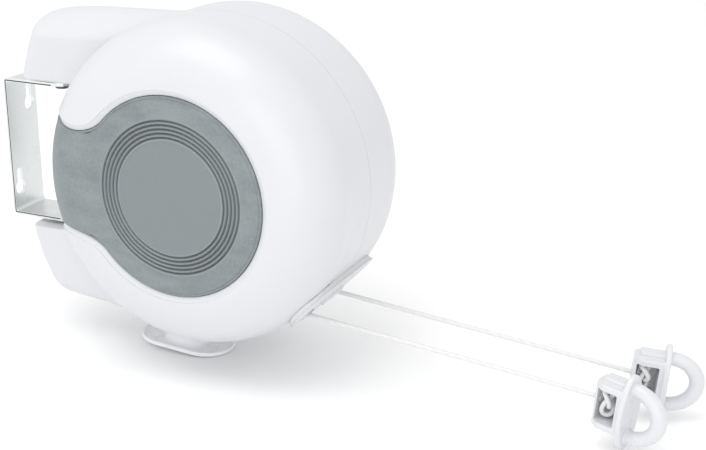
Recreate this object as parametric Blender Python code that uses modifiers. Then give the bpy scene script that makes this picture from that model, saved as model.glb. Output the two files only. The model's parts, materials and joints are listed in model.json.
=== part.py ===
"""Retractable clothesline: a sprung drum with two lines in a round case that swivels on a wall bracket.

Metres, +Z up. The origin is the centre of the bracket's wall face, +X points away from the wall
and Y runs along the drum's axis. Left (-Y) and right (+Y) are those of someone facing the wall.
"""

import math

import bmesh
import bpy
from mathutils import Matrix, Vector

MM = 0.001
GAP = 0.3 * MM  # clearance between neighbouring pieces

# Case: a drum-shaped shell in two halves, turned about the drum's axis
DRUM_X = 137.0 * MM  # drum axis from the wall
CASE_R = 88.5 * MM
CASE_HALF_WIDTH = 57.0 * MM
SHOULDER_R = 30.0 * MM
WALL = 4.5 * MM
CASE_STEPS = 60
ARC_STEPS = 6

# Side covers: a disc with a tail that wraps round the back of the case
COVER_R = 54.0 * MM
COVER_DEPTH = 0.8 * MM  # the cover's face lies this far below the case's surface
COVER_THICKNESS = 1.7 * MM
COVER_SEAM = 0.5 * MM  # the two tails stop this far from the middle, behind the case
GROOVE_R = (32.2, 34.4, 36.6, 38.8, 41.0)  # millimetres
GROOVE_WIDTH = 1.0 * MM
GROOVE_DEPTH = 0.6 * MM

# Wall bracket: a U of steel strap, and the two pins that the case swivels on
STRAP = 2.0 * MM
STRAP_WIDTH = 26.0 * MM
BRACKET_HALF_HEIGHT = 41.2 * MM
BEND_R = 4.0 * MM
PIVOT_X = 32.0 * MM
PIN_R = 4.0 * MM
PIN_HEAD_R = 5.0 * MM
PIN_HEAD = 3.2 * MM
PIN_TOP = 60.0 * MM
PIN_CHAMFER = 0.8 * MM
WASHER_R = 9.0 * MM
KEYHOLES = ((6.5 * MM, 22.5 * MM), (-7.5 * MM, -25.8 * MM))  # y, z of each round end
KEYHOLE_R = 4.3 * MM
KEYHOLE_SLOT_R = 2.3 * MM
KEYHOLE_RISE = 9.5 * MM
THROUGH_STRAP = 9.0 * MM  # half the length of the keyholes' cutters

# Lobes of the case that hold the pins: stations of x from the drum axis, half width, side height
# and crown height, in millimetres. Their inner faces lie LOBE_FACE from the middle.
LOBE_FACE = 43.5 * MM
UPPER_LOBE = (
    (-121, 12, 50, 53),
    (-119, 17, 57, 62),
    (-114, 20, 66, 72),
    (-110, 20.3, 70, 78.5),
    (-102, 20.3, 70.5, 81.8),
    (-94, 20.3, 70.8, 83.2),
    (-82, 20.3, 71, 84.2),
    (-69, 20.3, 71.6, 84.9),
    (-56, 20.5, 73, 85.2),
    (-40, 21, 76, 85.5),
    (-20, 21.5, 80, 85.8),
    (-12, 22, 81, 86),
)
LOWER_LOBE = (
    (-123, 12, 50, 53),
    (-121.5, 17, 60, 64),
    (-117, 20, 70, 76),
    (-111, 20.5, 75.5, 82),
    (-102, 20.5, 77.5, 84),
    (-88, 20.5, 79.5, 85.6),
    (-76, 20.5, 80.8, 86.4),
    (-61, 20.5, 81.6, 86.9),
    (-42, 21, 82.5, 87),
    (-12, 22, 83, 87),
)
LOBE_WALL = 3.0  # millimetres, like the stations
BOSS_R = 9.0 * MM
LOBE_SCREW_X = 51.0 * MM
LOBE_SCREW_Z = 63.0 * MM
LOBE_SCREW_HEAD_Y = 12.0 * MM  # the screw heads sit this far right of the middle
LOBE_SCREW_DEPTH = 12.0 * MM
LOBE_SCREW_TIP = 10.0 * MM

# Screws that close the case: angle round the drum axis, radius of the posts
POST_ANGLES = (35, 95, 180, 340)
POST_CIRCLE_R = 78.5 * MM
POST_R = 4.5 * MM
SCREW_R = 1.5 * MM
SCREW_HOLE_R = 1.9 * MM
SCREW_HEAD_R = 3.4 * MM
SCREW_HEAD = 2.0 * MM
COUNTERBORE_R = 3.8 * MM
SCREW_HEAD_Y = 30.0 * MM
SCREW_DEPTH = 18.0 * MM
SCREW_TIP = 16.0 * MM

# Drum, spring and axle
AXLE_R = 6.0 * MM
AXLE_HALF_LENGTH = 53.9 * MM
HUB_R = 53.0 * MM
HUB_BORE_R = 50.5 * MM
FLANGE_R = 70.0 * MM
FLANGE_Y = 34.0 * MM
FLANGE = 1.8 * MM
END_WALL = 2.6 * MM
BUSH_R = 8.7 * MM
BUSH_FLANGE_R = 12.0 * MM
BUSH_FLANGE = 1.2 * MM
BEARING_R = 14.0 * MM
BEARING_DEPTH = 8.0 * MM
ARBOR_R = 11.5 * MM
SPRING_HALF_WIDTH = 21.0 * MM
SPRING_STRIP = 0.6 * MM
SPRING_OUTER_R = 49.6 * MM
SPRING_PACK_R = 39.0 * MM
SPRING_PACK_TURNS = 5
SPRING_FREE_TURNS = 2
SPRING_STEPS = 22  # points in a turn

# Lines: straight from the drum, through the outlet, to the end fittings
LINE_R = 1.25 * MM
LINE_Y = 18.1 * MM
LINE_DROP = math.radians(5.2)
LINE_DRUM_R = 62.7 * MM  # radius at which the line leaves the drum
OUTLET_X = 60.0 * MM  # where a line leaves the outlet, from the drum axis
LEFT_REACH = 176.3 * MM  # along the line, from the outlet to the back of the end plate
RIGHT_REACH = 184.0 * MM

# Outlet plate and its eyelets
OUTLET_TILT = math.radians(42.6)
OUTLET_FACE = 90.4 * MM  # from the drum axis
OUTLET_HALF_LENGTH = 38.5 * MM
OUTLET_HALF_HEIGHT = 17.5 * MM
OUTLET_DEPTH = 8.0 * MM
OUTLET_PAD = (10.0 * MM, 4.5 * MM)  # half length and half height
OUTLET_PAD_DROP = 2.0 * MM
OUTLET_PAD_RISE = 1.6 * MM
EYELET_R = 3.6 * MM
EYELET_BORE_R = 1.9 * MM
EYELET_DEPTH = 14.0 * MM
EYELET_LENGTH_OUT = 9.0 * MM  # past the outlet point, before it is trimmed
EYELET_PROUD = 0.6 * MM

# Line lock: the dished cleat below the case
CLEAT_X = -27.5 * MM  # from the drum axis
CLEAT_Z = -106.0 * MM
CLEAT_TILT = math.radians(3.7)
CLEAT_HALF_LENGTH = 28.9 * MM
CLEAT_HALF_WIDTH = 17.1 * MM
CLEAT_PLATE = 2.0 * MM
CLEAT_RIM = 1.0 * MM
CLEAT_LOW = -1.2 * MM  # the dish's underside, in the cleat's own frame
CLEAT_STEM = (14.0 * MM, 10.5 * MM)  # half length and half width
CLEAT_SCREW_Y = 5.5 * MM
CLEAT_SCREW_HEAD = 3.5 * MM  # the screw heads' seats, above CLEAT_Z
CLEAT_SCREW_TOP = -79.0 * MM
CLEAT_POST_TOP = -76.0 * MM
BELOW_CLEAT = -120.0 * MM

# End fitting, from the back of its end plate
PLATE_THICKNESS = 3.0 * MM
PLATE_HALF_WIDTH = 10.2 * MM
PLATE_HALF_HEIGHT = 20.3 * MM
PLATE_DROP = 2.0 * MM
FITTING_YAW = {"left": math.radians(-14), "right": math.radians(14)}  # how each one hangs on its line
FITTING_ENTRY = -14.5 * MM  # where the line enters
BOX_LENGTH = 15.5 * MM
BOX_HALF_WIDTH = 8.0 * MM
BOX_CHAMFER = (4.5 * MM, 3.8 * MM)  # of the corners where the line enters, along and across
BOX_TOP = 11.0 * MM
BOX_BOTTOM = -13.0 * MM
WINDOW_END = 13.6 * MM
WINDOW_LENGTH = 11.4 * MM
WINDOW_TOP = 7.8 * MM
WINDOW_BOTTOM = -9.8 * MM
WINDOW_BACK = 5.5 * MM  # the box is open on its -Y side only
RIB_START = 12.5 * MM
RIB_HALF_WIDTH = 4.0 * MM
RIB_RISE = 2.5 * MM
LINE_HOLE_R = 2.2 * MM
RING_BAR_R = 4.0 * MM
RING_HALF_HEIGHT = 12.9 * MM
RING_REACH = 18.3 * MM  # to the middle of the bar
RING_STRAIGHT = 4.0 * MM
KNOT_R = 4.1 * MM
KNOT_SHAPE = (1.0, 1.15, 1.6, 1.0)

WHITE = (0.83, 0.84, 0.86)
GREY = (0.27, 0.31, 0.305)
LINE_WHITE = (0.88, 0.88, 0.87)
STEEL = (0.62, 0.64, 0.65)
DARK_STEEL = (0.2, 0.2, 0.21)
NYLON = (0.75, 0.74, 0.7)
BRASS = (0.72, 0.55, 0.25)


# ---- scene and helpers ----


def clear_scene():
    for obj in list(bpy.data.objects):
        bpy.data.objects.remove(obj)


def new_collection(name):
    made = bpy.data.collections.new(name)
    bpy.context.scene.collection.children.link(made)
    return made


clear_scene()
PARTS = new_collection("retractable_clothesline")
CUTTERS = new_collection("cutters")


def paint(obj, colour, roughness=0.45, metallic=0.0):
    material = bpy.data.materials.new(obj.name)
    material.use_nodes = True
    shader = material.node_tree.nodes["Principled BSDF"]
    shader.inputs["Base Color"].default_value = (*colour, 1.0)
    shader.inputs["Roughness"].default_value = roughness
    shader.inputs["Metallic"].default_value = metallic
    obj.data.materials.clear()
    obj.data.materials.append(material)


def empty(name, location, rotation=(0.0, 0.0, 0.0)):
    made = bpy.data.objects.new(name, None)
    made.location = location
    made.rotation_euler = rotation
    PARTS.objects.link(made)
    return made


def add(name, data, parent=None, cutter=False):
    """A new object, on its parent's frame, as a part or as a hidden cutter."""
    obj = bpy.data.objects.new(name, data)
    (CUTTERS if cutter else PARTS).objects.link(obj)
    obj.parent = parent
    if cutter:
        obj.hide_render = True
        obj.display_type = "WIRE"
    return obj


def smooth(mesh, angle=35):
    mesh.shade_smooth()
    mesh.set_sharp_from_angle(angle=math.radians(angle))


def turned(name, profile, parent, steps=CASE_STEPS, ring=False, cutter=False):
    """A profile of (radius, height) points turned about the parent's Z. A ring's profile closes."""
    mesh = bpy.data.meshes.new(name)
    points = [(r, 0.0, h) for r, h in profile]
    edges = [(i, i + 1) for i in range(len(points) - 1)]
    if ring:
        edges.append((len(points) - 1, 0))
    mesh.from_pydata(points, edges, [])
    obj = add(name, mesh, parent, cutter)
    screw = obj.modifiers.new("turn", "SCREW")
    screw.axis = "Z"
    screw.angle = math.tau
    screw.steps = screw.render_steps = steps
    screw.use_merge_vertices = True
    screw.merge_threshold = 0.00001
    screw.use_smooth_shade = True
    return obj


def ring_profile(inner, outer, low, high):
    return [(inner, high), (outer, high), (outer, low), (inner, low)]


def rod(name, radius, low, high, parent, location=(0, 0, 0), steps=20, cutter=False):
    """A cylinder along the parent's Z, from low to high, with a flat side on each axis."""
    mesh = bpy.data.meshes.new(name)
    bm = bmesh.new()
    bmesh.ops.create_cone(
        bm, cap_ends=True, segments=steps, radius1=radius, radius2=radius, depth=high - low
    )
    half_step = Matrix.Rotation(math.pi / steps, 3, "Z")
    bmesh.ops.rotate(bm, verts=bm.verts, cent=(0, 0, 0), matrix=half_step)
    bmesh.ops.translate(bm, verts=bm.verts, vec=(0, 0, (low + high) / 2))
    bm.to_mesh(mesh)
    bm.free()
    smooth(mesh)
    obj = add(name, mesh, parent, cutter)
    obj.location = location
    return obj


def block(name, low, high, parent, cutter=False):
    """A box between two corners in the parent's frame."""
    mesh = bpy.data.meshes.new(name)
    bm = bmesh.new()
    size = Vector(high) - Vector(low)
    centre = (Vector(high) + Vector(low)) / 2
    place = Matrix.Translation(centre) @ Matrix.Diagonal(size).to_4x4()
    bmesh.ops.create_cube(bm, size=1.0, matrix=place)
    bm.to_mesh(mesh)
    bm.free()
    return add(name, mesh, parent, cutter)


def mesh_from_curve(obj):
    """The curve object as a mesh object with welded caps, so that Booleans can use it."""
    bpy.context.view_layer.update()
    graph = bpy.context.evaluated_depsgraph_get()
    mesh = bpy.data.meshes.new_from_object(obj.evaluated_get(graph))
    bm = bmesh.new()
    bm.from_mesh(mesh)
    bmesh.ops.remove_doubles(bm, verts=bm.verts, dist=0.000001)
    bmesh.ops.recalc_face_normals(bm, faces=bm.faces)
    bm.to_mesh(mesh)
    bm.free()
    made = bpy.data.objects.new(obj.name + "_mesh", mesh)
    for collection in obj.users_collection:
        collection.objects.link(made)
    made.parent = obj.parent
    made.matrix_basis = obj.matrix_basis.copy()
    made.hide_render = obj.hide_render
    made.display_type = obj.display_type
    name = obj.name
    bpy.data.objects.remove(obj)
    made.name = name
    smooth(mesh)
    return made


def prism(name, outline, low, high, parent, rotation=(0, 0, 0), location=(0, 0, 0), cutter=False):
    """A flat outline of (x, y) points, extruded from low to high along its own Z."""
    curve = bpy.data.curves.new(name, "CURVE")
    curve.dimensions = "2D"
    curve.fill_mode = "BOTH"
    curve.extrude = (high - low) / 2
    spline = curve.splines.new("POLY")
    spline.points.add(len(outline) - 1)
    for point, (x, y) in zip(spline.points, outline):
        point.co = (x, y, 0.0, 1.0)
    spline.use_cyclic_u = True
    obj = add(name, curve, parent, cutter)
    turn = Matrix.LocRotScale(Vector(location), Matrix.Identity(3), None)
    for axis, angle in zip("XYZ", rotation):
        turn = turn @ Matrix.Rotation(angle, 4, axis)
    obj.matrix_basis = turn @ Matrix.Translation((0, 0, (low + high) / 2))
    return mesh_from_curve(obj)


def boolean(obj, operation, *others):
    for other in others:
        modifier = obj.modifiers.new(other.name, "BOOLEAN")
        modifier.operation = operation
        modifier.solver = "EXACT"
        modifier.object = other
    return obj


def arc(centre, radius, start, end, steps):
    """Points along an arc, angles in degrees."""
    angles = [math.radians(start + (end - start) * i / steps) for i in range(steps + 1)]
    return [(centre[0] + radius * math.cos(a), centre[1] + radius * math.sin(a)) for a in angles]


def bezier(p0, p1, p2, p3, steps):
    """Points along a cubic curve, without its first point."""
    points = []
    for i in range(1, steps + 1):
        t = i / steps
        u = 1 - t
        weights = (u**3, 3 * u * u * t, 3 * u * t * t, t**3)
        points.append(tuple(sum(w * p[k] for w, p in zip(weights, (p0, p1, p2, p3))) for k in (0, 1)))
    return points


def stadium(half_length, half_width, steps=9):
    """An outline along X with round ends."""
    shift = half_length - half_width
    return arc((shift, 0), half_width, -90, 90, steps) + arc((-shift, 0), half_width, 90, 270, steps)


# ---- frames: each moving body hangs from an empty on its joint's axis ----

LAY_ALONG_Y = (-math.pi / 2, 0, 0)  # turns an empty's Z to the row's +Y

wall_frame = empty("wall_frame", (0, 0, 0))
swivel_axis = empty("swivel_axis", (PIVOT_X, 0, 0))
case_axis = empty("case_axis", (DRUM_X, 0, 0), LAY_ALONG_Y)
drum_axis = empty("drum_axis", (DRUM_X, 0, 0), LAY_ALONG_Y)


def outlet_z():
    """Height of the lines at the outlet, so that they leave the drum as a tangent."""
    return -(LINE_DRUM_R + OUTLET_X * math.sin(LINE_DROP)) / math.cos(LINE_DROP)


def line_frame(name, y):
    """An empty at a line's outlet, with its X along the line."""
    return empty(name, (DRUM_X + OUTLET_X, y, outlet_z()), (0, LINE_DROP, 0))


SIDES = {"left": -1, "right": 1}
line_frames = {side: line_frame(f"{side}_line_axis", sign * LINE_Y) for side, sign in SIDES.items()}


# ---- case ----


def case_profile(inset):
    """The case's outline from its left face to its right face, this far inside its surface."""
    flat_r = CASE_R - SHOULDER_R
    straight = CASE_HALF_WIDTH - SHOULDER_R
    shoulder = arc((flat_r, straight), SHOULDER_R - inset, 90, 0, ARC_STEPS)
    top = [(0.0, CASE_HALF_WIDTH - inset), *shoulder]
    return top + [(r, -h) for r, h in reversed(top)]


def lobe_section(x, half_width, side, crown, sign):
    """Points across one station of a lobe: a flat face, two sides and a domed crown."""
    rise = crown - side
    dome = [(half_width * math.cos(a), side + rise * math.sin(a)) for a in (0.0, 0.6, 1.1, math.pi / 2)]
    right = [(half_width, LOBE_FACE / MM), *dome]
    left = [(-y, z) for y, z in reversed(right[:-1])]
    return [Vector((x, y, sign * z)) * MM + Vector((DRUM_X, 0, 0)) for y, z in right + left]


def lobe(name, stations, sign, inset=0.0):
    """A lobe of the case lofted through its stations, or the pocket inside it."""
    mesh = bpy.data.meshes.new(name)
    bm = bmesh.new()
    rings = []
    for x, half_width, side, crown in stations:
        points = lobe_section(x + inset, half_width - inset, side - inset, crown - inset, sign)
        if inset:
            points[0].z += sign * inset * MM
            points[-1].z += sign * inset * MM
        rings.append([bm.verts.new(point) for point in points])
    for first, second in zip(rings, rings[1:]):
        for i in range(len(first)):
            j = (i + 1) % len(first)
            bm.faces.new((first[i], first[j], second[j], second[i]))
    bm.faces.new(rings[0])
    bm.faces.new(list(reversed(rings[-1])))
    bmesh.ops.recalc_face_normals(bm, faces=bm.faces)
    bm.to_mesh(mesh)
    bm.free()
    return add(name, mesh, cutter=True)


def post_places():
    """Centres of the posts in the case's frame, whose Y points down."""
    angles = [math.radians(a) for a in POST_ANGLES]
    return [(POST_CIRCLE_R * math.cos(a), -POST_CIRCLE_R * math.sin(a), 0) for a in angles]


def chamber():
    """The space inside the case, with the screw posts, axle bosses and cleat bosses left standing."""
    space = turned("chamber", case_profile(WALL), case_axis, cutter=True)
    half = CASE_HALF_WIDTH
    for i, place in enumerate(post_places()):
        post = rod(f"post_{i}", POST_R, -half, half, case_axis, place, 16, cutter=True)
        boolean(space, "DIFFERENCE", post)
    for side, sign in SIDES.items():
        low, high = sorted((sign * CASE_HALF_WIDTH, sign * (FLANGE_Y + 2 * MM)))
        boss = rod(f"{side}_axle_boss", BOSS_R + 2 * MM, low, high, case_axis, cutter=True)
        place = (DRUM_X + CLEAT_X, sign * CLEAT_SCREW_Y, 0)
        cleat_boss = rod(f"{side}_cleat_boss", POST_R, -CASE_R, CLEAT_POST_TOP, None, place, 16, cutter=True)
        boolean(space, "DIFFERENCE", boss, cleat_boss)
    return space


def pocket(name, stations, sign):
    """The hollow inside a lobe, with the pin's boss and the screw's post left standing."""
    space = lobe(name, stations[:-2], sign, LOBE_WALL)
    boss = rod(f"{name}_boss", BOSS_R, -CASE_R, CASE_R, swivel_axis, cutter=True)
    place = (LOBE_SCREW_X - DRUM_X, -sign * LOBE_SCREW_Z, 0)
    half = CASE_HALF_WIDTH
    post = rod(f"{name}_post", POST_R, -half, half, case_axis, place, 16, cutter=True)
    return boolean(space, "DIFFERENCE", boss, post)


def cover_outline(grow=0.0):
    """The cover's outline in the plane of the case's side, from the drum axis: x, z."""
    r = COVER_R + grow
    upper = arc((0, 0), r, 137, 137, 1)[0]
    lower = arc((0, 0), r, -139, -139, 1)[0]
    reach = -CASE_R - 5 * MM
    far_upper = (reach, 40 * MM + grow)
    far_lower = (reach, -28 * MM - grow)
    tail = bezier(
        upper, (-47.7 * MM, 28 * MM + grow), (-64 * MM, 25 * MM + grow), far_upper, 8
    )
    back = bezier(
        far_lower, (-66 * MM, -25 * MM - grow), (-48.6 * MM, -26.3 * MM - grow), lower, 8
    )
    return [*tail, far_lower, *back, *arc((0, 0), r, -139, 137, 36)[1:]]


def cover_prism(name, sign, seam, grow=0.0):
    """The cover's outline carried through one side of the case, from the seam outwards."""
    reach = CASE_HALF_WIDTH + 5 * MM
    low, high = sorted((-sign * reach, -sign * seam))
    across = (math.pi / 2, 0, 0)
    return prism(name, cover_outline(grow), low, high, None, across, (DRUM_X, 0, 0), cutter=True)


def groove_points(face):
    """The cover's face from its centre outwards, with the ring grooves."""
    points = [(0, face)]
    for radius in GROOVE_R:
        inner = radius * MM - GROOVE_WIDTH / 2
        outer = radius * MM + GROOVE_WIDTH / 2
        floor = face - GROOVE_DEPTH
        points += [(inner, face), (inner, floor), (outer, floor), (outer, face)]
    return points


def layer(name, sign, depth, thickness, grooves=False, cutter=False):
    """A layer of one side of the case, from this depth below its surface."""
    straight = CASE_HALF_WIDTH - SHOULDER_R
    centre = (CASE_R - SHOULDER_R, straight)
    face = CASE_HALF_WIDTH - depth
    outer = SHOULDER_R - depth
    profile = groove_points(face) if grooves else [(0, face)]
    profile += [*arc(centre, outer, 90, 0, ARC_STEPS), (CASE_R - depth, 0)]
    profile += [(CASE_R - depth - thickness, 0), *arc(centre, outer - thickness, 0, 90, ARC_STEPS)]
    profile.append((0, face - thickness))
    if sign < 0:
        profile = [(r, -h) for r, h in reversed(profile)]
    return turned(name, profile, case_axis, cutter=cutter)


def make_cover(side, sign):
    cover = layer(f"{side}_cover", sign, COVER_DEPTH, COVER_THICKNESS, grooves=True)
    boolean(cover, "INTERSECT", cover_prism(f"{side}_cover_outline", sign, COVER_SEAM))
    paint(cover, GREY, 0.5)


def recess(side, sign):
    """What the shell loses to seat its cover."""
    above = 2 * MM
    thickness = above + COVER_DEPTH + COVER_THICKNESS + GAP
    cut = layer(f"{side}_recess", sign, -above, thickness, cutter=True)
    return boolean(cut, "INTERSECT", cover_prism(f"{side}_recess_outline", sign, -COVER_SEAM, GAP))


def screw_holes(side, sign):
    """Holes for the case screws in one shell: blind on the left, countersunk on the right."""
    places = [(place, SCREW_DEPTH, SCREW_HEAD_Y) for place in post_places()]
    for z in (-LOBE_SCREW_Z, LOBE_SCREW_Z):
        places.append(((LOBE_SCREW_X - DRUM_X, z, 0), LOBE_SCREW_DEPTH, LOBE_SCREW_HEAD_Y))
    outside = CASE_HALF_WIDTH + 2 * MM
    holes = []
    for i, (place, depth, head) in enumerate(places):
        if side == "left":
            holes.append(rod(f"pilot_{i}", SCREW_HOLE_R, -depth, 1 * MM, case_axis, place, 12, cutter=True))
            continue
        holes.append(
            rod(f"clearance_{i}", SCREW_HOLE_R, -1 * MM, head + 1 * MM, case_axis, place, 12, cutter=True)
        )
        holes.append(
            rod(f"counterbore_{i}", COUNTERBORE_R, head, outside, case_axis, place, 16, cutter=True)
        )
    return holes


def make_shell(side, sign, lobes, spaces):
    shell = turned(f"{side}_shell", case_profile(0.0), case_axis)
    boolean(shell, "UNION", *lobes)
    boolean(shell, "DIFFERENCE", *spaces)
    big = 0.3
    low, high = (-GAP / 2, big) if side == "left" else (-big, GAP / 2)
    other_half = block(f"{side}_other_half", (-big, low, -big), (big, high, big), None, cutter=True)
    boolean(shell, "DIFFERENCE", other_half, recess(side, sign), *screw_holes(side, sign))
    reach = CASE_HALF_WIDTH * 1.2
    axle_hole = rod(f"{side}_axle_hole", AXLE_R + GAP, -reach, reach, case_axis, cutter=True)
    line_hole = eyelet_hole(side, f"{side}_shell_line_hole")
    place = (DRUM_X + CLEAT_X, sign * CLEAT_SCREW_Y, 0)
    cleat_hole = rod(f"{side}_cleat_pilot", SCREW_HOLE_R, -95 * MM, -70 * MM, None, place, 12, cutter=True)
    boolean(shell, "DIFFERENCE", axle_hole, line_hole, cleat_hole)
    pin_depth = PIN_TOP + 1 * MM
    for name, low, high in (("upper", 0, pin_depth), ("lower", -pin_depth, 0)):
        bore = rod(f"{side}_{name}_pin_bore", PIN_R + GAP, low, high, swivel_axis, cutter=True)
        boolean(shell, "DIFFERENCE", bore)
    paint(shell, WHITE, 0.35)


def make_case():
    lobes = [lobe("upper_lobe", UPPER_LOBE, 1), lobe("lower_lobe", LOWER_LOBE, -1)]
    pockets = [pocket("upper_pocket", UPPER_LOBE, 1), pocket("lower_pocket", LOWER_LOBE, -1)]
    spaces = [chamber(), *pockets]
    for side, sign in SIDES.items():
        make_shell(side, sign, lobes, spaces)
        make_cover(side, sign)


def screw(name, parent, location, head_low, tip, up=True):
    """A pan-head screw along the parent's Z: its head's inner face at head_low, its point at tip."""
    step = SCREW_HEAD if up else -SCREW_HEAD
    profile = [
        (0, head_low + step),
        (SCREW_HEAD_R * 0.75, head_low + step),
        (SCREW_HEAD_R, head_low + step * 0.5),
        (SCREW_HEAD_R, head_low),
        (SCREW_R, head_low),
        (SCREW_R, tip + step * 0.8),
        (0, tip),
    ]
    if not up:
        profile.reverse()
    obj = turned(name, profile, parent, 16)
    obj.location = location
    paint(obj, STEEL, 0.3, 1.0)


def make_case_screws():
    for i, place in enumerate(post_places()):
        screw(f"case_screw_{i + 1}", case_axis, place, SCREW_HEAD_Y + GAP, -SCREW_TIP)
    for name, z in (("upper", -LOBE_SCREW_Z), ("lower", LOBE_SCREW_Z)):
        place = (LOBE_SCREW_X - DRUM_X, z, 0)
        screw(f"{name}_lobe_screw", case_axis, place, LOBE_SCREW_HEAD_Y + GAP, -LOBE_SCREW_TIP)


# ---- wall bracket and swivel ----


def bracket_outline():
    """The strap's edge, seen along Y: the wall plate and two arms, x and z."""
    h = BRACKET_HALF_HEIGHT
    tip = PIVOT_X + STRAP_WIDTH / 2
    inner_r = BEND_R - STRAP
    outer = arc((BEND_R, h - BEND_R), BEND_R, 90, 180, 4) + arc((BEND_R, BEND_R - h), BEND_R, 180, 270, 4)
    inner = arc((BEND_R, BEND_R - h), inner_r, 270, 180, 4) + arc((BEND_R, h - BEND_R), inner_r, 180, 90, 4)
    return [(tip, h), *outer, (tip, -h), (tip, STRAP - h), *inner, (tip, h - STRAP)]


def make_bracket():
    half = STRAP_WIDTH / 2
    bracket = prism("wall_bracket", bracket_outline(), -half, half, wall_frame, (math.pi / 2, 0, 0))
    plan = [(-1 * MM, half), (-1 * MM, -half), *arc((PIVOT_X, 0), half - 0.05 * MM, -90, 90, 14)]
    ends = prism("arm_ends", plan, -0.06, 0.06, wall_frame, cutter=True)
    boolean(bracket, "INTERSECT", ends)
    for i, (y, z) in enumerate(KEYHOLES):
        turn = empty(f"keyhole_frame_{i}", (0, y, z), (0, math.pi / 2, 0))
        round_end = rod(f"keyhole_round_{i}", KEYHOLE_R, -THROUGH_STRAP, THROUGH_STRAP, turn, cutter=True)
        slot_top = rod(
            f"keyhole_top_{i}",
            KEYHOLE_SLOT_R,
            -THROUGH_STRAP - 1 * MM,
            THROUGH_STRAP + 1 * MM,
            turn,
            (-KEYHOLE_RISE, 0, 0),
            cutter=True,
        )
        slot = block(
            f"keyhole_slot_{i}",
            (1 * MM - THROUGH_STRAP, y - KEYHOLE_SLOT_R, z),
            (THROUGH_STRAP - 1 * MM, y + KEYHOLE_SLOT_R, z + KEYHOLE_RISE),
            wall_frame,
            cutter=True,
        )
        boolean(bracket, "DIFFERENCE", round_end, slot_top, slot)
    boolean(bracket, "DIFFERENCE", rod("pin_holes", PIN_R + GAP, -0.06, 0.06, swivel_axis, cutter=True))
    paint(bracket, STEEL, 0.35, 1.0)


def make_swivel(name, sign):
    """One pin, headed inside the bracket's arm and standing in the lobe, with its washer."""
    inner = BRACKET_HALF_HEIGHT - STRAP - GAP
    profile = [
        (0, PIN_TOP),
        (PIN_R - PIN_CHAMFER, PIN_TOP),
        (PIN_R, PIN_TOP - PIN_CHAMFER),
        (PIN_R, inner),
        (PIN_HEAD_R, inner),
        (PIN_HEAD_R, inner - PIN_HEAD * 0.6),
        (PIN_HEAD_R - 1 * MM, inner - PIN_HEAD),
        (0, inner - PIN_HEAD),
    ]
    washer = ring_profile(PIN_R + GAP, WASHER_R, BRACKET_HALF_HEIGHT + GAP, LOBE_FACE - GAP)
    if sign < 0:
        profile = [(r, -h) for r, h in reversed(profile)]
        washer = [(r, -h) for r, h in reversed(washer)]
    pin = turned(f"{name}_pivot_pin", profile, swivel_axis, 20)
    paint(pin, DARK_STEEL, 0.35, 1.0)
    ring = turned(f"{name}_pivot_washer", washer, swivel_axis, 24, ring=True)
    paint(ring, NYLON, 0.5)


# ---- outlet, eyelets and line lock ----


def eyelet_hole(side, name):
    return rod(name, EYELET_R + GAP, -0.03, 0.02, tube_frames[side], cutter=True)


def outlet_frame():
    """An empty on the outlet plate's face: Z out of the face, Y along the row's Y."""
    reach = Vector((math.cos(OUTLET_TILT), 0, -math.sin(OUTLET_TILT))) * OUTLET_FACE
    return empty("outlet_frame", (DRUM_X + reach.x, 0, reach.z), (0, math.pi / 2 + OUTLET_TILT, 0))


outlet_face = outlet_frame()
tube_frames = {
    side: empty(
        f"{side}_eyelet_axis",
        (DRUM_X + OUTLET_X, sign * LINE_Y, outlet_z()),
        (0, math.pi / 2 + LINE_DROP, 0),
    )
    for side, sign in SIDES.items()
}


def make_outlet():
    along_y = [(-y, x) for x, y in stadium(OUTLET_HALF_LENGTH, OUTLET_HALF_HEIGHT)]
    plate = prism("outlet_plate", along_y, -OUTLET_DEPTH, 0, outlet_face)
    pad_outline = [(OUTLET_PAD_DROP - y, x) for x, y in stadium(*OUTLET_PAD)]
    pad = prism("outlet_pad", pad_outline, -1 * MM, OUTLET_PAD_RISE, outlet_face, cutter=True)
    boolean(plate, "UNION", pad)
    body = turned("outlet_clearance", case_profile(-GAP), case_axis, cutter=True)
    boolean(plate, "DIFFERENCE", body, *[eyelet_hole(side, f"{side}_plate_hole") for side in SIDES])
    paint(plate, WHITE, 0.35)


def make_eyelet(side):
    """A bush for the line, through plate and case, trimmed along the plate's face."""
    profile = ring_profile(EYELET_BORE_R, EYELET_R, -EYELET_DEPTH, EYELET_LENGTH_OUT)
    eyelet = turned(f"{side}_eyelet", profile, tube_frames[side], 20, ring=True)
    big = 50 * MM
    trim = block(f"{side}_eyelet_trim", (-big, -big, EYELET_PROUD), (big, big, big), outlet_face, cutter=True)
    boolean(eyelet, "DIFFERENCE", trim)
    paint(eyelet, NYLON, 0.35)


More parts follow.
